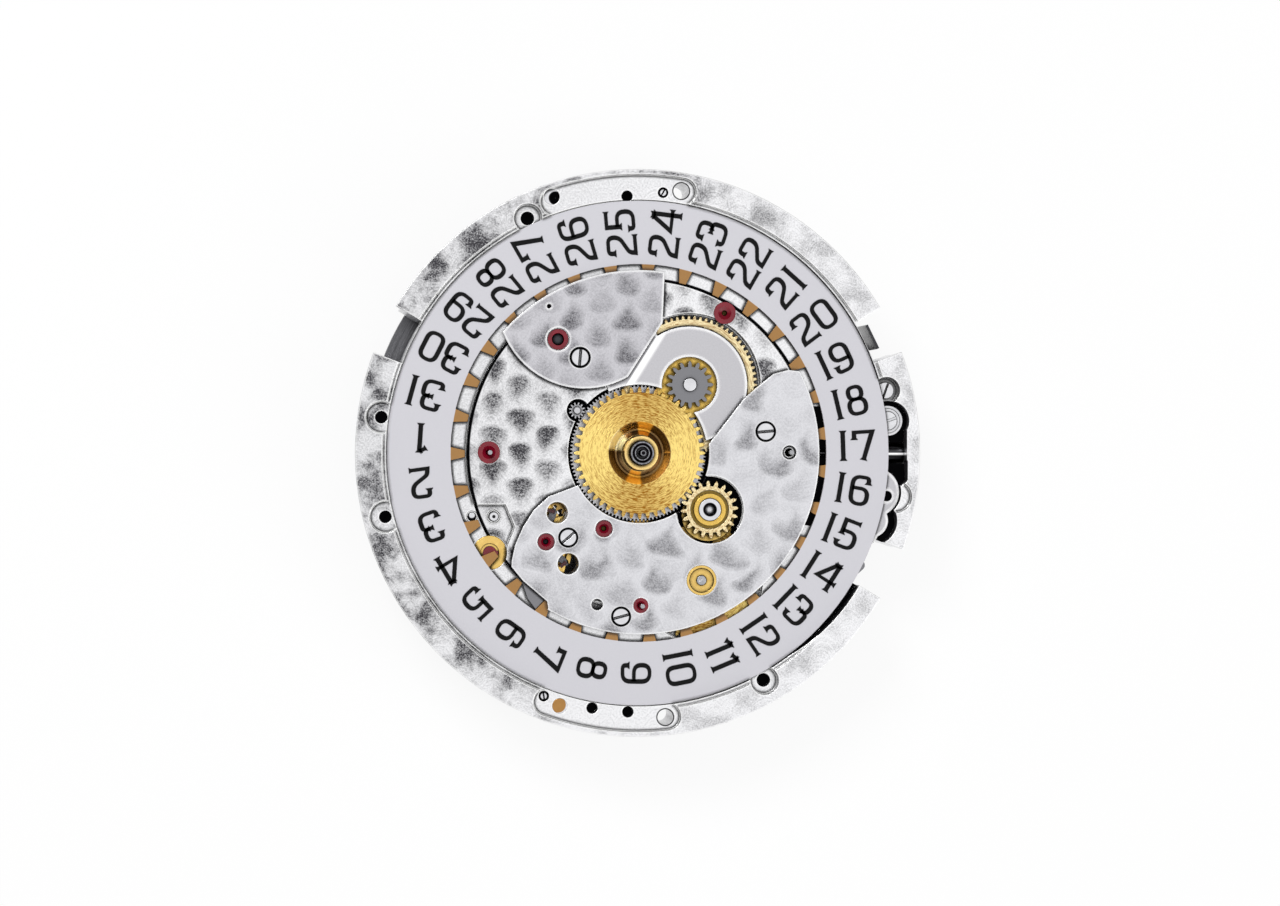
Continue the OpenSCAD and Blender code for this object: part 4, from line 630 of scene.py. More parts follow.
@dataclass(frozen=True)
class Finish:
    """One metal or lacquer finish and the material that shows it.

    Colours are sRGB hex values, lengths are in millimetres and angles in degrees. The
    pitch is the real width of the grain's marks, or the smallest that still shows in the
    render. The depth is the bump's strength, and the contrast that of the shade. A stripe
    is half as wide as the ground stripes stand apart, and the painted sheen is how much a
    turned face is painted darker on two sides and lighter on the other two. Whatever lies
    below the sunk height is painted black as shade, and so are the shade rings.
    """

    name: str
    colour: str
    shade: str
    roughness: float
    grain: Grain
    pitch: float = 0.05
    depth: float = 0.3
    contrast: float = 0.5
    metallic: float = 1.0
    centre: Point = (0.0, 0.0)
    turn: float = 0.0
    edge: float = 0.03
    bevel: float = 0.0
    corner: float = 0.95
    deep: float = 0.6
    glance: float = 0.0
    stripe: float = 0.0
    stripe_share: float = 0.7
    line_share: float = 0.5
    lines_fade: Fade = (0.38, 0.68)
    bevel_fade: Fade = (0.995, 0.96)
    # Painted shade of the corners: how far round a point its openness counts, and the
    # openness of full painted shade and of none
    near_corner: tuple[float, float, float] = (0.22, 0.7, 0.97)
    far_corner: tuple[float, float, float] = (0.8, 0.1, 0.75)
    roughness_swing: float = 0.12
    bump: float = 0.004
    sunk: float = -FAR
    sunk_edge: float = 0.05
    sunk_beyond: Fade = (12.4, 12.5)
    upward: Fade = (0.3, 0.5)
    hub: Optional[Hub] = None
    spots: Spots = Spots()
    oiled: tuple[OilRing, ...] = ()
    strip: Optional[PolishedStrip] = None

    def about(self, label: str, centre: Point, hub: Hub) -> "Finish":
        """Gives this finish the axis and the hub of one wheel.

        Args:
            label: What the wheel is called.
            centre: The wheel's axis in the dial's plane, in millimetres.
            hub: The look of its hub or arbor.

        Returns:
            The finish turned about that axis.
        """
        return replace(self, name=f"{self.name}_{label}", centre=centre, hub=hub)

    def straight(self, tree: Tree) -> Socket:
        """Gives the pattern of a surface brushed along one direction, with its stripes.

        Args:
            tree: The material's node tree.

        Returns:
            The socket of the pattern.
        """
        x, y, z = place_mm(tree, self.centre)
        along, across = turned(tree, x, y, self.turn)
        fine = self.grain.value
        drawn_out = add_node(tree, Kind.MULTIPLY, along, fine.slender)
        drawn = add_node(tree, Kind.JOIN, drawn_out, across, z)
        lines = add_node(tree, Kind.NOISE, drawn, 1 / self.pitch, fine.detail, fine.rough)
        if not self.stripe:
            return lines
        swing = add_node(tree, Kind.TO_AND_FRO, across, self.stripe)
        wave = add_node(tree, Kind.DIVIDE, swing, self.stripe)
        thin = add_node(tree, Kind.MULTIPLY, lines, self.line_share)
        return add_node(tree, Kind.MULTIPLY_ADD, wave, self.stripe_share, thin)

    def circular(self, tree: Tree) -> Socket:
        """Gives the pattern of a surface brushed round its own axis.

        Args:
            tree: The material's node tree.

        Returns:
            The socket of the pattern, with a painted sheen where the finish has one: darker on
            two sides and lighter on the other two.
        """
        x, y, z = place_mm(tree, self.centre)
        angle = add_node(tree, Kind.ANGLE, y, x)
        fine = self.grain.value
        cosine, sine = (add_node(tree, turn, angle) for turn in (Kind.COSINE, Kind.SINE))
        drawn = add_node(
            tree, Kind.JOIN,
            add_node(tree, Kind.MULTIPLY, cosine, fine.slender),
            length(tree, x, y),
            add_node(tree, Kind.MULTIPLY_ADD, sine, fine.slender, z),
        )
        lines = add_node(tree, Kind.NOISE, drawn, 1 / self.pitch, fine.detail, fine.rough)
        lines = add_node(tree, Kind.FADE, lines, *self.lines_fade)
        # Painted sheen: the turned face is painted darker on two sides and lighter on the other
        # two
        doubled = add_node(tree, Kind.MULTIPLY_ADD, angle, 2.0, math.radians(self.turn))
        twice = add_node(tree, Kind.COSINE, doubled)
        sheen_marks = add_node(tree, Kind.MULTIPLY_ADD, twice, -self.glance, self.glance / 4)
        return add_node(tree, Kind.ADD, lines, sheen_marks)

    def pattern(self, tree: Tree) -> Socket:
        """Gives the grain's pattern.

        Args:
            tree: The material's node tree.

        Returns:
            A socket that is about 1 where the surface takes its darker colour.
        """
        if self.grain is Grain.STRAIGHT:
            return self.straight(tree)
        if self.grain is Grain.CIRCULAR:
            return self.circular(tree)
        if self.grain is Grain.SPOTTED:
            return self.spots.marks(tree, self)
        fine = self.grain.value
        here = add_node(tree, Kind.JOIN, *place_mm(tree))
        return add_node(tree, Kind.NOISE, here, 1 / self.pitch, fine.detail, fine.rough)

    def oil(self, tree: Tree) -> Socket:
        """Gives where black is painted as shade.

        It lies in the shade rings and in whatever is sunk far below the rim. Only faces
        that look up to the dial get it.

        Args:
            tree: The material's node tree.

        Returns:
            A socket that is 1 where the painted shade lies.
        """
        place = place_mm(tree)
        x, y, z = place
        black = add_node(
            tree, Kind.MULTIPLY,
            add_node(tree, Kind.FADE, z, self.sunk + self.sunk_edge, self.sunk),
            add_node(tree, Kind.FADE, length(tree, x, y), *self.sunk_beyond),
        )
        for ring in self.oiled:
            black = add_node(tree, Kind.MAXIMUM, black, ring.mask(tree, place))
        _, _, up = add_node(tree, Kind.SPLIT, add_node(tree, Kind.FACE)).node.outputs
        return add_node(
            tree, Kind.MULTIPLY, black, add_node(tree, Kind.FADE, up, *self.upward)
        )

    def shaded(self, tree: Tree, colour: Socket) -> Socket:
        """Paints shade into the corners, the sunk places and the rings, and highlights on the
        bevels and the strip.

        Args:
            tree: The material's node tree.
            colour: The surface's own colour.

        Returns:
            The socket of the finished colour.
        """
        # Painted shade: the inner corners get a dark line, and deep places a wider painted
        # shade
        for corner, share in ((self.near_corner, 1.0), (self.far_corner, self.deep)):
            reach, low, high = corner
            open_to = add_node(tree, Kind.OPENNESS, reach * MM)
            dark = add_node(
                tree, Kind.FADE, open_to, low, high, 1 - self.corner * share, 1.0
            )
            shadow = add_node(tree, Kind.JOIN, dark, dark, dark)
            colour = add_node(tree, Kind.DARKEN, 1.0, colour, shadow)
        if self.bevel:
            # Painted highlight: the piece's rounded edges are painted bright white
            bent = add_node(
                tree, Kind.LIKENESS,
                add_node(tree, Kind.FACE), add_node(tree, Kind.ROUNDED, self.bevel * MM),
            )
            bevel_highlight = add_node(tree, Kind.FADE, bent, *self.bevel_fade)
            colour = add_node(tree, Kind.MIX, bevel_highlight, colour, linear(WHITE))
        # Painted shade: black in the sunk places and the shade rings
        colour = add_node(tree, Kind.MIX, self.oil(tree), colour, linear(SHADE_BLACK))
        # Painted highlight: a white strip along a line
        if self.strip:
            colour = add_node(tree, Kind.MIX, self.strip.mask(tree), colour, linear(WHITE))
        return colour

    def material(self) -> bpy.types.Material:
        """Builds the material.

        Returns:
            A material named for the finish, made of nodes alone.
        """
        made = blank_material(self.name)
        tree = made.node_tree
        marks = self.pattern(tree)
        rough = add_node(
            tree, Kind.MULTIPLY_ADD, marks, self.roughness_swing,
            self.roughness - self.roughness_swing / 2,
        )
        factor = add_node(tree, Kind.MULTIPLY, marks, self.contrast)
        colour = add_node(tree, Kind.MIX, factor, linear(self.colour), linear(self.shade))
        if self.hub:
            place = place_mm(tree, self.centre)
            colour, rough = self.hub.lay(tree, place, marks, colour, rough)
        rounded = add_node(tree, Kind.ROUNDED, self.edge * MM)
        bump = add_node(tree, Kind.BUMP, marks, self.depth, self.bump * MM, rounded)
        colour = self.shaded(tree, colour)
        shader = add_node(tree, Kind.METAL, colour, self.metallic, rough, bump)
        add_node(tree, Kind.SURFACE, shader)
        return made


@dataclass(frozen=True)
class Ruby:
    """Synthetic ruby: clear deep red with a polished face and a shine from inside."""

    name: str = "synthetic_ruby_polished"
    dark: str = "#6b0a1c"
    clear: str = "#a3122f"
    cloud_noise: Noise = (2.5, 2.0)
    roughness: float = 0.08
    ior: float = 1.76
    specular: float = 0.2
    transmission: float = 0.25

    def material(self) -> bpy.types.Material:
        """Builds the material.

        Returns:
            A material named for the stone.
        """
        made = blank_material(self.name)
        tree = made.node_tree
        here = add_node(tree, Kind.JOIN, *place_mm(tree))
        cloud = add_node(tree, Kind.NOISE, here, *self.cloud_noise)
        colour = add_node(tree, Kind.MIX, cloud, linear(self.dark), linear(self.clear))
        shader = add_node(
            tree, Kind.CRYSTAL, colour, self.roughness, self.ior, self.specular,
            self.transmission,
        )
        add_node(tree, Kind.SURFACE, shader)
        return made


@dataclass(frozen=True)
class PrintInk:
    """Black printing ink, laid on thickly and slightly glossy."""

    name: str = "pad_printing_ink_black"
    colour: str = "#050506"
    thin: str = "#0d0d0e"
    cloud_noise: Noise = (12.0, 3.0)
    gloss_fade: Fade = (0.3, 0.7, 0.38, 0.5)
    specular: float = 0.12

    def material(self) -> bpy.types.Material:
        """Builds the material.

        Returns:
            A material named for the ink.
        """
        made = blank_material(self.name)
        tree = made.node_tree
        here = add_node(tree, Kind.JOIN, *place_mm(tree))
        cloud = add_node(tree, Kind.NOISE, here, *self.cloud_noise)
        colour = add_node(tree, Kind.MIX, cloud, linear(self.colour), linear(self.thin))
        rough = add_node(tree, Kind.FADE, cloud, *self.gloss_fade)
        add_node(tree, Kind.SURFACE, add_node(tree, Kind.INK, colour, rough, self.specular))
        return made


Look = Finish | Ruby | PrintInk

# Rhodium on brass, ground in round spots: bright, with dark fans where the grinding turns
# Painted shade: the fans' darkness, the darker left, the black rings and sunk places; painted
# highlight: the bevel
SPOTTED_RHODIUM = Finish(
    "rhodium_plate_spotted", "#f4f4f6", "#3c3b3f", 0.34, Grain.SPOTTED, 0.085, 0.25, 0.86,
    centre=(0.2, -0.2), edge=0.04, bevel=0.12, deep=0.35, sunk=-0.72,
    spots=Spots(
        faintest=0.4, strongest=0.96, boss_radius=9.15, rim_radius=13.4, smudge=0.12,
        darker_left=0.2,
    ),
    oiled=(
        OilRing(0.0, 0.0, 0.0, 5.4, -0.5), OilRing(3.726, -2.996, 0.0, 2.4, -0.5),
        OilRing(9.5, -0.7, 0.0, 3.2, -0.5), OilRing(2.222, 13.873, 0.4, 0.48),
        OilRing(0.12, 0.0, 9.11, 9.29), OilRing(1.371, -13.983, 0.4, 0.48),
    ),
)
# Rhodium on the upper cover plate, ground in spots over a grey ground, fans upside down
# Painted shade: the black ring round its screw; painted highlight: the bevel
GREY_RHODIUM = Finish(
    "rhodium_cover_spotted", "#cccbd0", "#3f3e43", 0.36, Grain.SPOTTED, 0.075, 0.2, 0.62,
    centre=(-1.4, 7.2), turn=180.0, edge=0.04, bevel=0.22,
    spots=Spots(sway=1.5, smudge=0.25), oiled=(OilRing(-3.17, 5.04, 0.47, 0.57),),
)
# Rhodium on the lower bridge, ground softly: light grey with faint smudges
# Painted shade: the black rings round its screws; painted highlight: the bevel
SOFT_RHODIUM = Finish(
    "rhodium_bridge_spotted", "#dcdce0", "#4a494e", 0.36, Grain.SPOTTED, 0.075, 0.2,
    centre=(0.6, -4.4), turn=168.0, edge=0.04, bevel=0.14,
    spots=Spots(1.6, 2.1, sway=3.0, faintest=0.1, smudge=0.4),
    oiled=(
        OilRing(6.71, 1.14, 0.47, 0.56), OilRing(-3.8, -4.46, 0.45, 0.54),
        OilRing(-1.0, -8.64, 0.45, 0.54),
    ),
)
# Rhodium on the bridges at the back, ground in straight stripes
STRIPED_RHODIUM = Finish(
    "rhodium_bridge_striped", "#e2e2e4", "#77767a", 0.30, Grain.STRAIGHT, 0.05, 0.35, 0.7,
    turn=38.0, stripe=0.75,
)
# Hardened steel, fine ground on a flat stone: even mid grey
GROUND_STEEL = Finish("hardened_steel_ground", "#8e8e92", "#4c4c50", 0.34, Grain.BLASTED)
# Hardened steel, ground, as the wheel below the hour wheel, painted lighter as painted
# light, with little painted shade of its depth
LIT_STEEL = Finish(
    "hardened_steel_lit", "#dcdce0", "#77777b", 0.28, Grain.BLASTED, deep=0.1
)
# Hardened steel with blasted face, as the cover over the motion work
# Painted highlight: the bevel and a white strip; painted shade: black where sunk
BLASTED_STEEL = Finish(
    "hardened_steel_blasted", "#cccbcf", "#97969a", 0.42, Grain.BLASTED, 0.07, 0.15, 0.6,
    edge=0.04, bevel=0.3, sunk=-0.95, strip=PolishedStrip((-0.95, 3.18), (1.1, 6.47), 0.3),
)
# Hardened steel, black polished on tin: near mirror, with one plug of bare brass
# Painted shade: the black rings round screws, holes and studs, and black where sunk
POLISHED_STEEL = Finish(
    "hardened_steel_black_polished", "#ececef", "#b4b5ba", 0.14, Grain.POLISHED, 0.4, 0.05,
    0.6, corner=1.0, sunk=-0.9, centre=(-4.33, -13.28), hub=Hub(0.42, "#b98a52", 0.15),
    oiled=(
        OilRing(-3.17, 5.04, 0.43, 0.6), OilRing(6.71, 1.14, 0.43, 0.6),
        OilRing(-3.8, -4.46, 0.41, 0.6), OilRing(-1.0, -8.64, 0.41, 0.6),
        OilRing(-4.46, 13.45, 0.0, 0.36), OilRing(1.26, 13.78, 0.16, 0.36),
        OilRing(-5.08, -12.82, 0.16, 0.36), OilRing(3.726, -2.996, 0.25, 0.37),
        OilRing(-7.71, -3.35, 0.22, 0.36), OilRing(-7.71, -3.35, 0.0, 0.09),
        OilRing(-8.85, -3.28, 0.15, 0.3),
    ),
)
# Turned steel of the arbors and pipes, polished round its axis
# Painted shade: the black rings round the arbor and its hole
TURNED_STEEL = Finish(
    "hardened_steel_turned", "#a4a4a9", "#2c2c30", 0.14, Grain.CIRCULAR, 0.12, 0.4, 0.8,
    oiled=(
        OilRing(0.0, 0.0, 0.39, 0.53), OilRing(0.0, 0.0, 0.6, 0.7),
        OilRing(0.0, 0.0, 0.0, 0.1),
    ),
)
# Steel of the stem and of the levers behind the notch, painted dark as painted shade,
# with a painted highlight strip along the stem
SHADED_STEEL = Finish(
    "carbon_steel_shaded", "#4b4b4e", "#1d1d1f", 0.22, Grain.STRAIGHT, 0.04,
    strip=PolishedStrip((12.0, 0.0), (15.0, 0.0), 0.09),
)
# Gold plate on a wheel blank, brushed round its axis, with a polished dish inside
# Painted sheen on two sides, and painted reflections in the dish
GOLD_CIRCULAR = Finish(
    "gold_plate_circular_brushed", "#ffe288", "#96621a", 0.30, Grain.CIRCULAR, 0.05, 0.6,
    0.85, edge=0.05, glance=0.36, hub=Dish(1.66, "#94744a", 0.07),
)
# The same gold plate where it lies deep under the dial, painted pale as painted light,
# with less painted shade and no painted sheen
LIT_GOLD = replace(GOLD_CIRCULAR, colour="#fff0c0", deep=0.1, corner=0.75, glance=0.0)
# Gold plate, polished
GOLD_POLISHED = Finish(
    "gold_plate_polished", "#fad781", "#a8741f", 0.12, Grain.POLISHED, 0.3, 0.05
)
# Ground brass of the inner wheels
BRASS_GROUND = Finish(
    "cartridge_brass_ground", "#d6b06a", "#9c7738", 0.28, Grain.STRAIGHT, 0.04, 0.35
)
# Sintered tungsten of the winding weight, ground
TUNGSTEN = Finish(
    "tungsten_alloy_ground", "#67676a", "#38383a", 0.33, Grain.CIRCULAR, 0.06, 0.4, 0.6
)
# Drawn spring alloy, blue grey
SPRING_ALLOY = Finish("spring_alloy_drawn", "#7f8a99", "#4a5463", 0.25, Grain.BLASTED, 0.06)
# White lacquer, sprayed and baked, on a brass date ring whose teeth stay bare
WHITE_LACQUER = Finish(
    "white_lacquer_on_brass", "#cfced4", "#c5c4ca", 0.45, Grain.BLASTED, 0.08, 0.12, 0.6,
    metallic=0.0, corner=0.6, hub=Hub(9.99, "#a97a3c", 0.45),
)
RUBY = Ruby()
GOLD_HUB = "#f0c766"
DARK_HUB = "#4a4a4e"


@dataclass
class Dressing:
    """The nodes of the frame and the finish that each of them gets."""

    looks: dict[str, Look] = field(default_factory=dict)
    made: dict[str, bpy.types.Material] = field(default_factory=dict)

    def give(self, look: Look, *nodes: str) -> None:
        """Notes that these nodes get this look."""
        self.looks.update(dict.fromkeys(nodes, look))

    def material_of(self, look: Look) -> bpy.types.Material:
        """Builds a look's material once and gives it again after that.

        Args:
            look: The finish, stone or ink.

        Returns:
            Its material.
        """
        if look.name not in self.made:
            self.made[look.name] = look.material()
        return self.made[look.name]

    def apply(self, nodes: dict[str, bpy.types.Object]) -> None:
        """Puts the looks on the nodes.

        Args:
            nodes: The frame's nodes by name.
        """
        for name, piece in nodes.items():
            material = self.material_of(self.looks[name])
            piece.data.materials.clear()
            piece.data.materials.append(material)
            LOG.info("%s: %s", name, material.name)


@dataclass(frozen=True)
class PlateAndBridges:
    """The main plate, the bridges and covers on both sides, their screws and jewels."""

    def dress(self, dressing: Dressing) -> None:
        """Notes the look of each piece.

        Args:
            dressing: The list that the looks go into.
        """
        dressing.give(SPOTTED_RHODIUM, "main_plate")
        dressing.give(GREY_RHODIUM, "date_keeper_plate")
        dressing.give(SOFT_RHODIUM, "calendar_bridge")
        dressing.give(
            STRIPED_RHODIUM, "barrel_bridge", "train_bridge", "balance_cock",
            "pallet_bridge", "chronograph_bridge", "winding_bridge",
        )
        dressing.give(POLISHED_STEEL, "dial_side_screws", "plate_pins", "bridge_screws")
        dressing.give(RUBY, "dial_side_jewels", "bridge_jewels")


@dataclass(frozen=True)
class MotionWork:
    """The wheels under the dial that carry the hands. Its axis is in millimetres."""

    minute_axis: Point = (2.677, 3.617)
    minute_hub: float = 1.9

    def dress(self, dressing: Dressing) -> None:
        """Notes the look of each piece.

        Args:
            dressing: The list that the looks go into.
        """
        hub = Hub(self.minute_hub, GOLD_HUB)
        dressing.give(GOLD_CIRCULAR, "hour_wheel")
        dressing.give(LIT_GOLD.about("minute", self.minute_axis, hub), "minute_wheel")
        dressing.give(TURNED_STEEL, "cannon_pinion")
        dressing.give(GROUND_STEEL, "minute_pinion")
        dressing.give(POLISHED_STEEL, "minute_wheel_stud")
        dressing.give(BLASTED_STEEL, "minute_work_cover")


@dataclass(frozen=True)
class DateWork:
    """The date ring and the wheels that turn it. Axes and hubs are in millimetres."""

    intermediate_axis: Point = (3.726, -2.996)
    intermediate_hub: float = 1.0
    wheel_axis: Point = (3.28, -6.74)
    wheel_arbor: float = 0.35

    def dress(self, dressing: Dressing) -> None:
        """Notes the look of each piece.

        Args:
            dressing: The list that the looks go into.
        """
        hub = Hub(self.intermediate_hub, GOLD_HUB)
        dressing.give(
            LIT_GOLD.about("intermediate", self.intermediate_axis, hub),
            "date_intermediate_wheel",
        )
        dressing.give(
            GOLD_CIRCULAR.about("date", self.wheel_axis, Hub(self.wheel_arbor)), "date_wheel"
        )
        dressing.give(WHITE_LACQUER, "date_ring")
        dressing.give(GROUND_STEEL, "date_jumper", "date_finger")
        dressing.give(POLISHED_STEEL, "intermediate_stud")
        dressing.give(GOLD_POLISHED, "date_wheel_bush", "bearing_disc")


@dataclass(frozen=True)
class GoingTrain:
    """Barrel, train, escapement and balance. Axes and arbors are in millimetres."""

    centre_arbor: float = 0.55
    small_seconds_axis: Point = (-7.98, 0.03)
    small_seconds_arbor: float = 0.35

    def dress(self, dressing: Dressing) -> None:
        """Notes the look of each piece.

        Args:
            dressing: The list that the looks go into.
        """
        dressing.give(BRASS_GROUND, "barrel", "third_wheel", "fourth_wheel", "seconds_idler")
        dressing.give(
            BRASS_GROUND.about("centre_wheel", (0.0, 0.0), Hub(self.centre_arbor)),
            "centre_wheel",
        )
        arbor = Hub(self.small_seconds_arbor)
        dressing.give(
            BRASS_GROUND.about("small_seconds_wheel", self.small_seconds_axis, arbor),
            "small_seconds_wheel",
        )
        dressing.give(SPRING_ALLOY, "mainspring", "hairspring")
        dressing.give(GOLD_POLISHED, "escape_wheel", "balance_wheel", "shock_settings")
        dressing.give(GROUND_STEEL, "pallet_fork")
        dressing.give(RUBY, "pallet_stones")


@dataclass(frozen=True)
class WindingWork:
    """Stem, setting lever, ratchet and rotor. Axes and hubs are in millimetres."""

    ratchet_axis: Point = (-4.33, 6.0)
    ratchet_hub: float = 0.6

    def dress(self, dressing: Dressing) -> None:
        """Notes the look of each piece.

        Args:
            dressing: The list that the looks go into.
        """
        dressing.give(SHADED_STEEL, "winding_stem")
        dressing.give(BLASTED_STEEL, "setting_lever_cover")
        dressing.give(
            GROUND_STEEL, "setting_lever", "winding_pinion", "crown_wheel", "rotor_bearing"
        )
        hub = Hub(self.ratchet_hub, DARK_HUB)
        dressing.give(
            GROUND_STEEL.about("ratchet", self.ratchet_axis, hub), "ratchet_wheel"
        )
        dressing.give(BRASS_GROUND, "intermediate_winding_wheel", "reversing_wheel")
        dressing.give(TUNGSTEN, "rotor")


@dataclass(frozen=True)
class Chronograph:
    """The chronograph's levers, wheels and counters. Axes and arbors in millimetres."""

    minute_counter_axis: Point = (7.98, 0.03)
    minute_counter_arbor: float = 0.35
    hour_counter_axis: Point = (0.05, -8.06)
    hour_counter_arbor: float = 0.3

    def dress(self, dressing: Dressing) -> None:
        """Notes the look of each piece.

        Args:
            dressing: The list that the looks go into.
        """
        dressing.give(SHADED_STEEL, "operating_lever")
        dressing.give(GROUND_STEEL, "column_wheel", "reset_lever")
        dressing.give(TURNED_STEEL, "chronograph_wheel")
        dressing.give(LIT_STEEL, "hour_counter_drive_wheel", "hour_counter_pinion")
        dressing.give(BRASS_GROUND, "hour_counter_idler")
        for wheel, axis, arbor in (
            ("minute_counter_wheel", self.minute_counter_axis, self.minute_counter_arbor),
            ("hour_counter_wheel", self.hour_counter_axis, self.hour_counter_arbor),
        ):
            dressing.give(BRASS_GROUND.about(wheel, axis, Hub(arbor)), wheel)


@dataclass(frozen=True)
class Stroke:
    """One stroke of a numeral: its corners, each with how far it is rounded."""

    corners: tuple[tuple[float, float, float], ...]
    closed: bool = False
    steps: int = 8

    def path(self) -> list[Point]:
        """Gives the middle line with its corners rounded.

        Returns:
            Points from the stroke's start to its end.
        """
        points: list[Point] = []
        count = len(self.corners)
        for i, (x, y, radius) in enumerate(self.corners):
            if radius == 0 or (not self.closed and i in (0, count - 1)):
                points.append((x, y))
                continue
            corner = Vector((x, y))
            before = Vector(self.corners[i - 1][:2]) - corner
            after = Vector(self.corners[(i + 1) % count][:2]) - corner
            reach = min(radius, before.length / 2, after.length / 2)
            start = corner + before.normalized() * reach
            end = corner + after.normalized() * reach
            for k in range(self.steps + 1):
                t = k / self.steps
                p = start * (1 - t) ** 2 + corner * 2 * t * (1 - t) + end * t * t
                points.append((p.x, p.y))
        return points


# The numerals' strokes, in shares of their height. Zero is the lower left.
GLYPHS: dict[str, tuple[Stroke, ...]] = {
    "0": (
        Stroke((
            (0.07, 0.05, 0.25), (0.61, 0.05, 0.25), (0.61, 0.95, 0.25), (0.07, 0.95, 0.25),
        ), closed=True),
    ),
    "1": (
        Stroke(((0.30, 0.0, 0), (0.30, 0.97, 0))),
        Stroke(((0.30, 0.93, 0), (0.08, 0.80, 0))),
    ),
    # The plain 1 of every day with two figures, apart from the 11
    "I": (Stroke(((0.30, 0.0, 0), (0.30, 1.0, 0))),),
    "2": (
        Stroke((
            (0.08, 0.70, 0), (0.08, 0.95, 0.22), (0.61, 0.95, 0.26), (0.61, 0.57, 0.2),
            (0.09, 0.26, 0.14), (0.06, 0.05, 0), (0.67, 0.05, 0),
        )),
    ),
    "3": (
        Stroke((
            (0.07, 0.73, 0), (0.07, 0.95, 0.2), (0.58, 0.95, 0.24), (0.58, 0.54, 0.2),
            (0.27, 0.54, 0),
        )),
        Stroke((
            (0.40, 0.54, 0), (0.63, 0.54, 0.2), (0.63, 0.05, 0.26), (0.05, 0.05, 0.22),
            (0.05, 0.26, 0),
        )),
    ),
    "4": (
        Stroke(((0.48, 0.95, 0), (0.05, 0.33, 0), (0.76, 0.33, 0))),
        Stroke(((0.57, 0.96, 0), (0.57, 0.0, 0))),
        Stroke(((0.42, 0.96, 0), (0.64, 0.96, 0))),
    ),
    "5": (
        Stroke(((0.67, 0.95, 0), (0.14, 0.95, 0), (0.14, 0.44, 0))),
        Stroke((
            (0.14, 0.59, 0), (0.63, 0.59, 0.26), (0.63, 0.05, 0.26), (0.06, 0.05, 0.22),
            (0.06, 0.24, 0),
        )),
    ),
    "6": (
        Stroke((
            (0.61, 0.72, 0), (0.61, 0.95, 0.2), (0.08, 0.95, 0.28), (0.08, 0.05, 0.28),
            (0.62, 0.05, 0.25), (0.62, 0.57, 0.25), (0.08, 0.57, 0),
        )),
    ),
    "7": (Stroke(((0.07, 0.68, 0), (0.07, 0.93, 0), (0.68, 0.95, 0), (0.36, 0.0, 0))),),
    "8": (
        Stroke((
            (0.12, 0.54, 0.2), (0.56, 0.54, 0.2), (0.56, 0.95, 0.2), (0.12, 0.95, 0.2),
        ), closed=True),
        Stroke((
            (0.07, 0.05, 0.24), (0.62, 0.05, 0.24), (0.62, 0.54, 0.24), (0.07, 0.54, 0.24),
        ), closed=True),
    ),
    "9": (
        Stroke((
            (0.07, 0.28, 0), (0.07, 0.05, 0.2), (0.60, 0.05, 0.28), (0.60, 0.95, 0.28),
            (0.06, 0.95, 0.25), (0.06, 0.43, 0.25), (0.60, 0.43, 0),
        )),
    ),
}


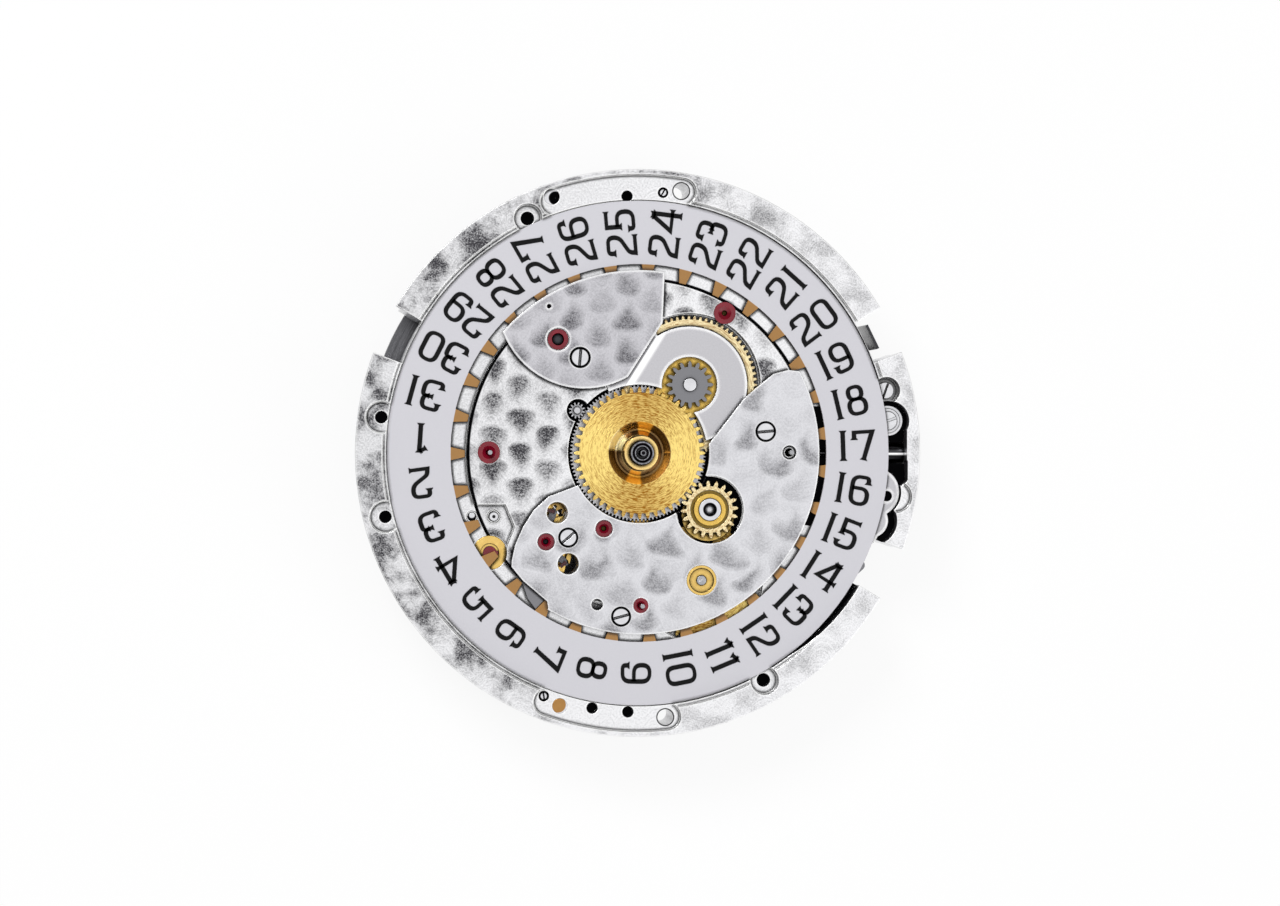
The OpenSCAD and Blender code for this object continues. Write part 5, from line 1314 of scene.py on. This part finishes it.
@dataclass(frozen=True)
class DatePrinting:
    """The numerals 1 to 31, printed on the date ring, in millimetres and degrees.

    The radii are those at the middle of each numeral, from the inner to the outer one.
    """

    days: int = 31
    shown_day: int = 17
    shown_angle: float = 2.0
    height: float = 1.6
    thick: float = 0.012
    sunk: float = 0.001
    # Half the width and half the height of the pen's tip
    pen_wide: float = 0.118
    pen_high: float = 0.092
    # How much a stroke's ends flare, and over which share of the numeral's height
    flare: float = 1.75
    flare_share: float = 0.07
    # How sharp a bend may be, as a cosine, and how far its outer corner may reach
    least_cosine: float = 0.45
    longest_miter: float = 1.8
    one_radius: float = 11.62
    single_radius: float = 11.68
    eleven_radii: Point = (11.27, 12.12)
    teen_radii: Point = (10.90, 11.95)
    ending_one_radii: Point = (11.42, 12.46)
    pair_radii: Point = (11.03, 12.33)
    # Where the middle of a numeral is, in shares of its height
    narrow_middle: float = 0.30
    wide_middle: float = 0.345

    def ribbon(self, stroke: Stroke) -> tuple[list[Point], list[Point]]:
        """Gives both edges of a stroke drawn with a broad pen, flared at its ends.

        Args:
            stroke: The stroke in shares of the numeral's height.

        Returns:
            The left and the right edge, in millimetres.
        """
        line = [Vector(p) for p in stroke.path()]
        if not stroke.closed:
            head = line[0] + (line[1] - line[0]).normalized() * self.flare_share
            tail = line[-1] + (line[-2] - line[-1]).normalized() * self.flare_share
            line = [line[0], head, *line[1:-1], tail, line[-1]]
        left: list[Point] = []
        right: list[Point] = []
        count = len(line)
        for i, p in enumerate(line):
            if stroke.closed:
                before, after = line[i - 1], line[(i + 1) % count]
            else:
                before, after = line[max(i - 1, 0)], line[min(i + 1, count - 1)]
            one, two = (
                way.normalized() if way.length > TINY else None
                for way in (p - before, after - p)
            )
            one, two = one or two, two or one
            way = (one + two).normalized()
            normal = Vector((-way.y, way.x))
            cosine = max(normal.dot(Vector((-one.y, one.x))), self.least_cosine)
            grow = min(1 / cosine, self.longest_miter)
            if not stroke.closed and i in (0, count - 1):
                grow *= self.flare
            offset = Vector((
                normal.x * self.pen_wide * grow, normal.y * self.pen_high * grow,
            ))
            at = p * self.height
            left.append(tuple(at + offset))
            right.append(tuple(at - offset))
        return left, right

    def numerals(self, day: int) -> list[tuple[str, float]]:
        """Gives the numerals of a day and the radius at the middle of each.

        Args:
            day: The day of the month.

        Returns:
            Each numeral's name with its radius in millimetres.
        """
        text = str(day)
        if len(text) == 1:
            return [(text, self.single_radius if day > 1 else self.one_radius)]
        if day == 11:
            radii = self.eleven_radii
        elif text[0] == "1":
            text, radii = "I" + text[1], self.teen_radii
        elif text[1] == "1":
            text, radii = text[0] + "I", self.ending_one_radii
        else:
            radii = self.pair_radii
        return list(zip(text, radii))

    def add_stroke(
        self, mesh: bmesh.types.BMesh, stroke: Stroke, out: Vector, start: float, top: float
    ) -> None:
        """Adds one stroke as a thin ribbon with a top and sides.

        Args:
            mesh: The mesh that gets it.
            stroke: The stroke.
            out: The unit vector away from the ring's centre.
            start: Radius at the numeral's left side, in millimetres.
            top: Height of the ring's face, in metres.
        """
        edges = self.ribbon(stroke)
        up = Vector((-out.y, out.x))
        rows: list[list[bmesh.types.BMVert]] = []
        for z in (top - self.sunk * MM, top + self.thick * MM):
            for edge in edges:
                flats = [(out * (start + x) + up * (y - self.height / 2)) * MM for x, y in edge]
                rows.append([mesh.verts.new((*flat, z)) for flat in flats])
        low_left, low_right, left, right = rows
        count = len(left)
        for i in range(count if stroke.closed else count - 1):
            j = (i + 1) % count
            mesh.faces.new((left[i], right[i], right[j], left[j]))
            mesh.faces.new((low_left[i], left[i], left[j], low_left[j]))
            mesh.faces.new((right[i], low_right[i], low_right[j], right[j]))
        if not stroke.closed:
            for k in (0, -1):
                mesh.faces.new((low_left[k], low_right[k], right[k], left[k]))

    def build(self, material: bpy.types.Material) -> bpy.types.Object:
        """Builds all numerals as one thin mesh on the ring.

        Args:
            material: The ink.

        Returns:
            The mesh object, riding on the date ring.
        """
        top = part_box("date_ring")[1].z
        mesh = bmesh.new()
        for day in range(1, self.days + 1):
            angle = math.radians(self.shown_angle + (day - self.shown_day) * 360 / self.days)
            out = Vector((math.cos(angle), math.sin(angle)))
            for numeral, radius in self.numerals(day):
                middle = self.narrow_middle if numeral in "1I" else self.wide_middle
                start = radius - middle * self.height
                for stroke in GLYPHS[numeral]:
                    self.add_stroke(mesh, stroke, out, start, top)
        data = bpy.data.meshes.new("date_numerals")
        bmesh.ops.recalc_face_normals(mesh, faces=mesh.faces)
        mesh.to_mesh(data)
        mesh.free()
        piece = bpy.data.objects.new("date_numerals", data)
        bpy.context.scene.collection.objects.link(piece)
        data.materials.append(material)
        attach(piece, "calendar_ring")
        LOG.info("date_numerals: %d faces", len(data.polygons))
        return piece


@dataclass(frozen=True)
class SoftBox:
    """A square lamp with a diffuser: its place and side in metres, its power in watts."""

    name: str
    at: tuple[float, float, float]
    size: float
    power: float

    def build(self) -> bpy.types.Object:
        """Hangs the lamp so that it points at the movement.

        Returns:
            The lamp.
        """
        data = bpy.data.lights.new(self.name, "AREA")
        data.size, data.energy = self.size, self.power
        lamp = bpy.data.objects.new(self.name, data)
        lamp.location = self.at
        lamp.rotation_euler = (-Vector(self.at)).to_track_quat("-Z", "Y").to_euler()
        bpy.context.scene.collection.objects.link(lamp)
        return lamp


@dataclass(frozen=True)
class Studio:
    """The pale floor, the soft lights and the camera.

    The image's width is in pixels, the lens, its sensor and the floor's gap are in
    millimetres, and the floor and the camera's clipping are in metres. Fades of the light
    are given by the direction's z or y.
    """

    floor_half: float = 1.5
    floor_gap: float = 0.02
    paper: str = "#f6f6f6"
    glow: float = 0.88
    lens: float = 100.0
    sensor: float = 36.0
    image_width: float = 1280.0
    px_per_mm: float = 18.93
    lean: float = 6.0
    clip: Point = (0.01, 10.0)
    ceiling_fade: Fade = (0.68, 0.9, 0.06, 1.0)
    horizon_fade: Fade = (0.6, 0.35, 0.0, 1.2)
    front_fade: Fade = (0.1, -0.6, 0.04, 1.0)
    right_slope: float = 0.22
    back_slope: float = 0.12
    lamps: tuple[SoftBox, ...] = (
        SoftBox("key", (-0.12, 0.16, 0.26), 0.12, 0.56),
        SoftBox("fill", (0.2, -0.1, 0.22), 0.16, 0.22),
    )

    def build_camera(self) -> bpy.types.Object:
        """Sets the camera where the photograph was taken from, almost straight above.

        Returns:
            The camera.
        """
        data = bpy.data.cameras.new("camera")
        data.lens, data.sensor_width = self.lens, self.sensor
        data.clip_start, data.clip_end = self.clip
        away = self.lens / self.sensor * self.image_width / self.px_per_mm * MM
        lean = math.radians(self.lean)
        camera = bpy.data.objects.new("camera", data)
        camera.location = (-math.sin(lean) * away, 0, math.cos(lean) * away)
        camera.rotation_euler = (0, -lean, 0)
        bpy.context.scene.collection.objects.link(camera)
        bpy.context.scene.camera = camera
        return camera

    def build_world(self) -> None:
        """Builds the surroundings: a bright ceiling, a dark belt and one pale horizon.

        Flat faces mirror the ceiling and shine, and dished ones mirror the belt and go
        dark. Rounded edges mirror the horizon, which is bright towards 6 o'clock and
        dark elsewhere, so they show as thin bright and black lines.
        """
        world = bpy.data.worlds.new("studio")
        bpy.context.scene.world = world
        world.use_nodes = True
        tree = world.node_tree
        tree.nodes.clear()
        way = add_node(tree, Kind.DIRECTION)
        x, y, z = add_node(tree, Kind.SPLIT, way).node.outputs
        ceiling = add_node(tree, Kind.FADE, z, *self.ceiling_fade)
        horizon = add_node(
            tree, Kind.MULTIPLY,
            add_node(tree, Kind.FADE, z, *self.horizon_fade),
            add_node(tree, Kind.FADE, y, *self.front_fade),
        )
        behind = add_node(tree, Kind.MULTIPLY_ADD, y, self.back_slope, 1.0)
        side = add_node(tree, Kind.MULTIPLY_ADD, x, self.right_slope, behind)
        light = add_node(tree, Kind.ADD, ceiling, horizon)
        light = add_node(tree, Kind.MULTIPLY, light, side)
        for ray in (Kind.CAMERA_RAY, Kind.TRANSMISSION_RAY):
            light = add_node(tree, Kind.MAXIMUM, light, add_node(tree, ray))
        add_node(tree, Kind.WORLD, add_node(tree, Kind.SURROUNDINGS, linear(WHITE), light))

    def build_floor(self) -> bpy.types.Object:
        """Builds the white floor, which keeps a soft shadow.

        Returns:
            The floor, marked as no part of the movement.
        """
        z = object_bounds()[0].z - self.floor_gap * MM
        h = self.floor_half
        data = bpy.data.meshes.new("floor")
        corners = [(-h, -h, z), (h, -h, z), (h, h, z), (-h, h, z)]
        data.from_pydata(corners, [], [(0, 1, 2, 3)])
        floor = bpy.data.objects.new("floor", data)
        bpy.context.scene.collection.objects.link(floor)
        made = blank_material("white_paper")
        tree = made.node_tree
        seen = add_node(tree, Kind.CAMERA_RAY)
        for ray in (Kind.GLOSSY_RAY, Kind.TRANSMISSION_RAY):
            seen = add_node(tree, Kind.MAXIMUM, seen, add_node(tree, ray))
        share = add_node(tree, Kind.MULTIPLY, seen, self.glow)
        matt = add_node(tree, Kind.MATT, linear(self.paper))
        glow = add_node(tree, Kind.GLOW, 1.0)
        add_node(tree, Kind.SURFACE, add_node(tree, Kind.BLEND, share, matt, glow))
        data.materials.append(made)
        floor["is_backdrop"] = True
        return floor

    def build(self) -> None:
        """Builds the whole studio."""
        self.build_camera()
        self.build_world()
        self.build_floor()
        for lamp in self.lamps:
            lamp.build()


def main() -> None:
    """Builds the classes in order and reports each piece."""
    logging.basicConfig(level=logging.INFO, format="%(name)s: %(message)s")
    bpy.context.scene.view_settings.view_transform = "Standard"
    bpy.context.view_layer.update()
    Studio().build()
    dressing = Dressing()
    for assembly in (
        PlateAndBridges(), MotionWork(), DateWork(), GoingTrain(), WindingWork(), Chronograph()
    ):
        assembly.dress(dressing)
    dressing.apply(frame["nodes"])
    DatePrinting().build(dressing.material_of(PrintInk()))


if __name__ == "__main__":
    main()
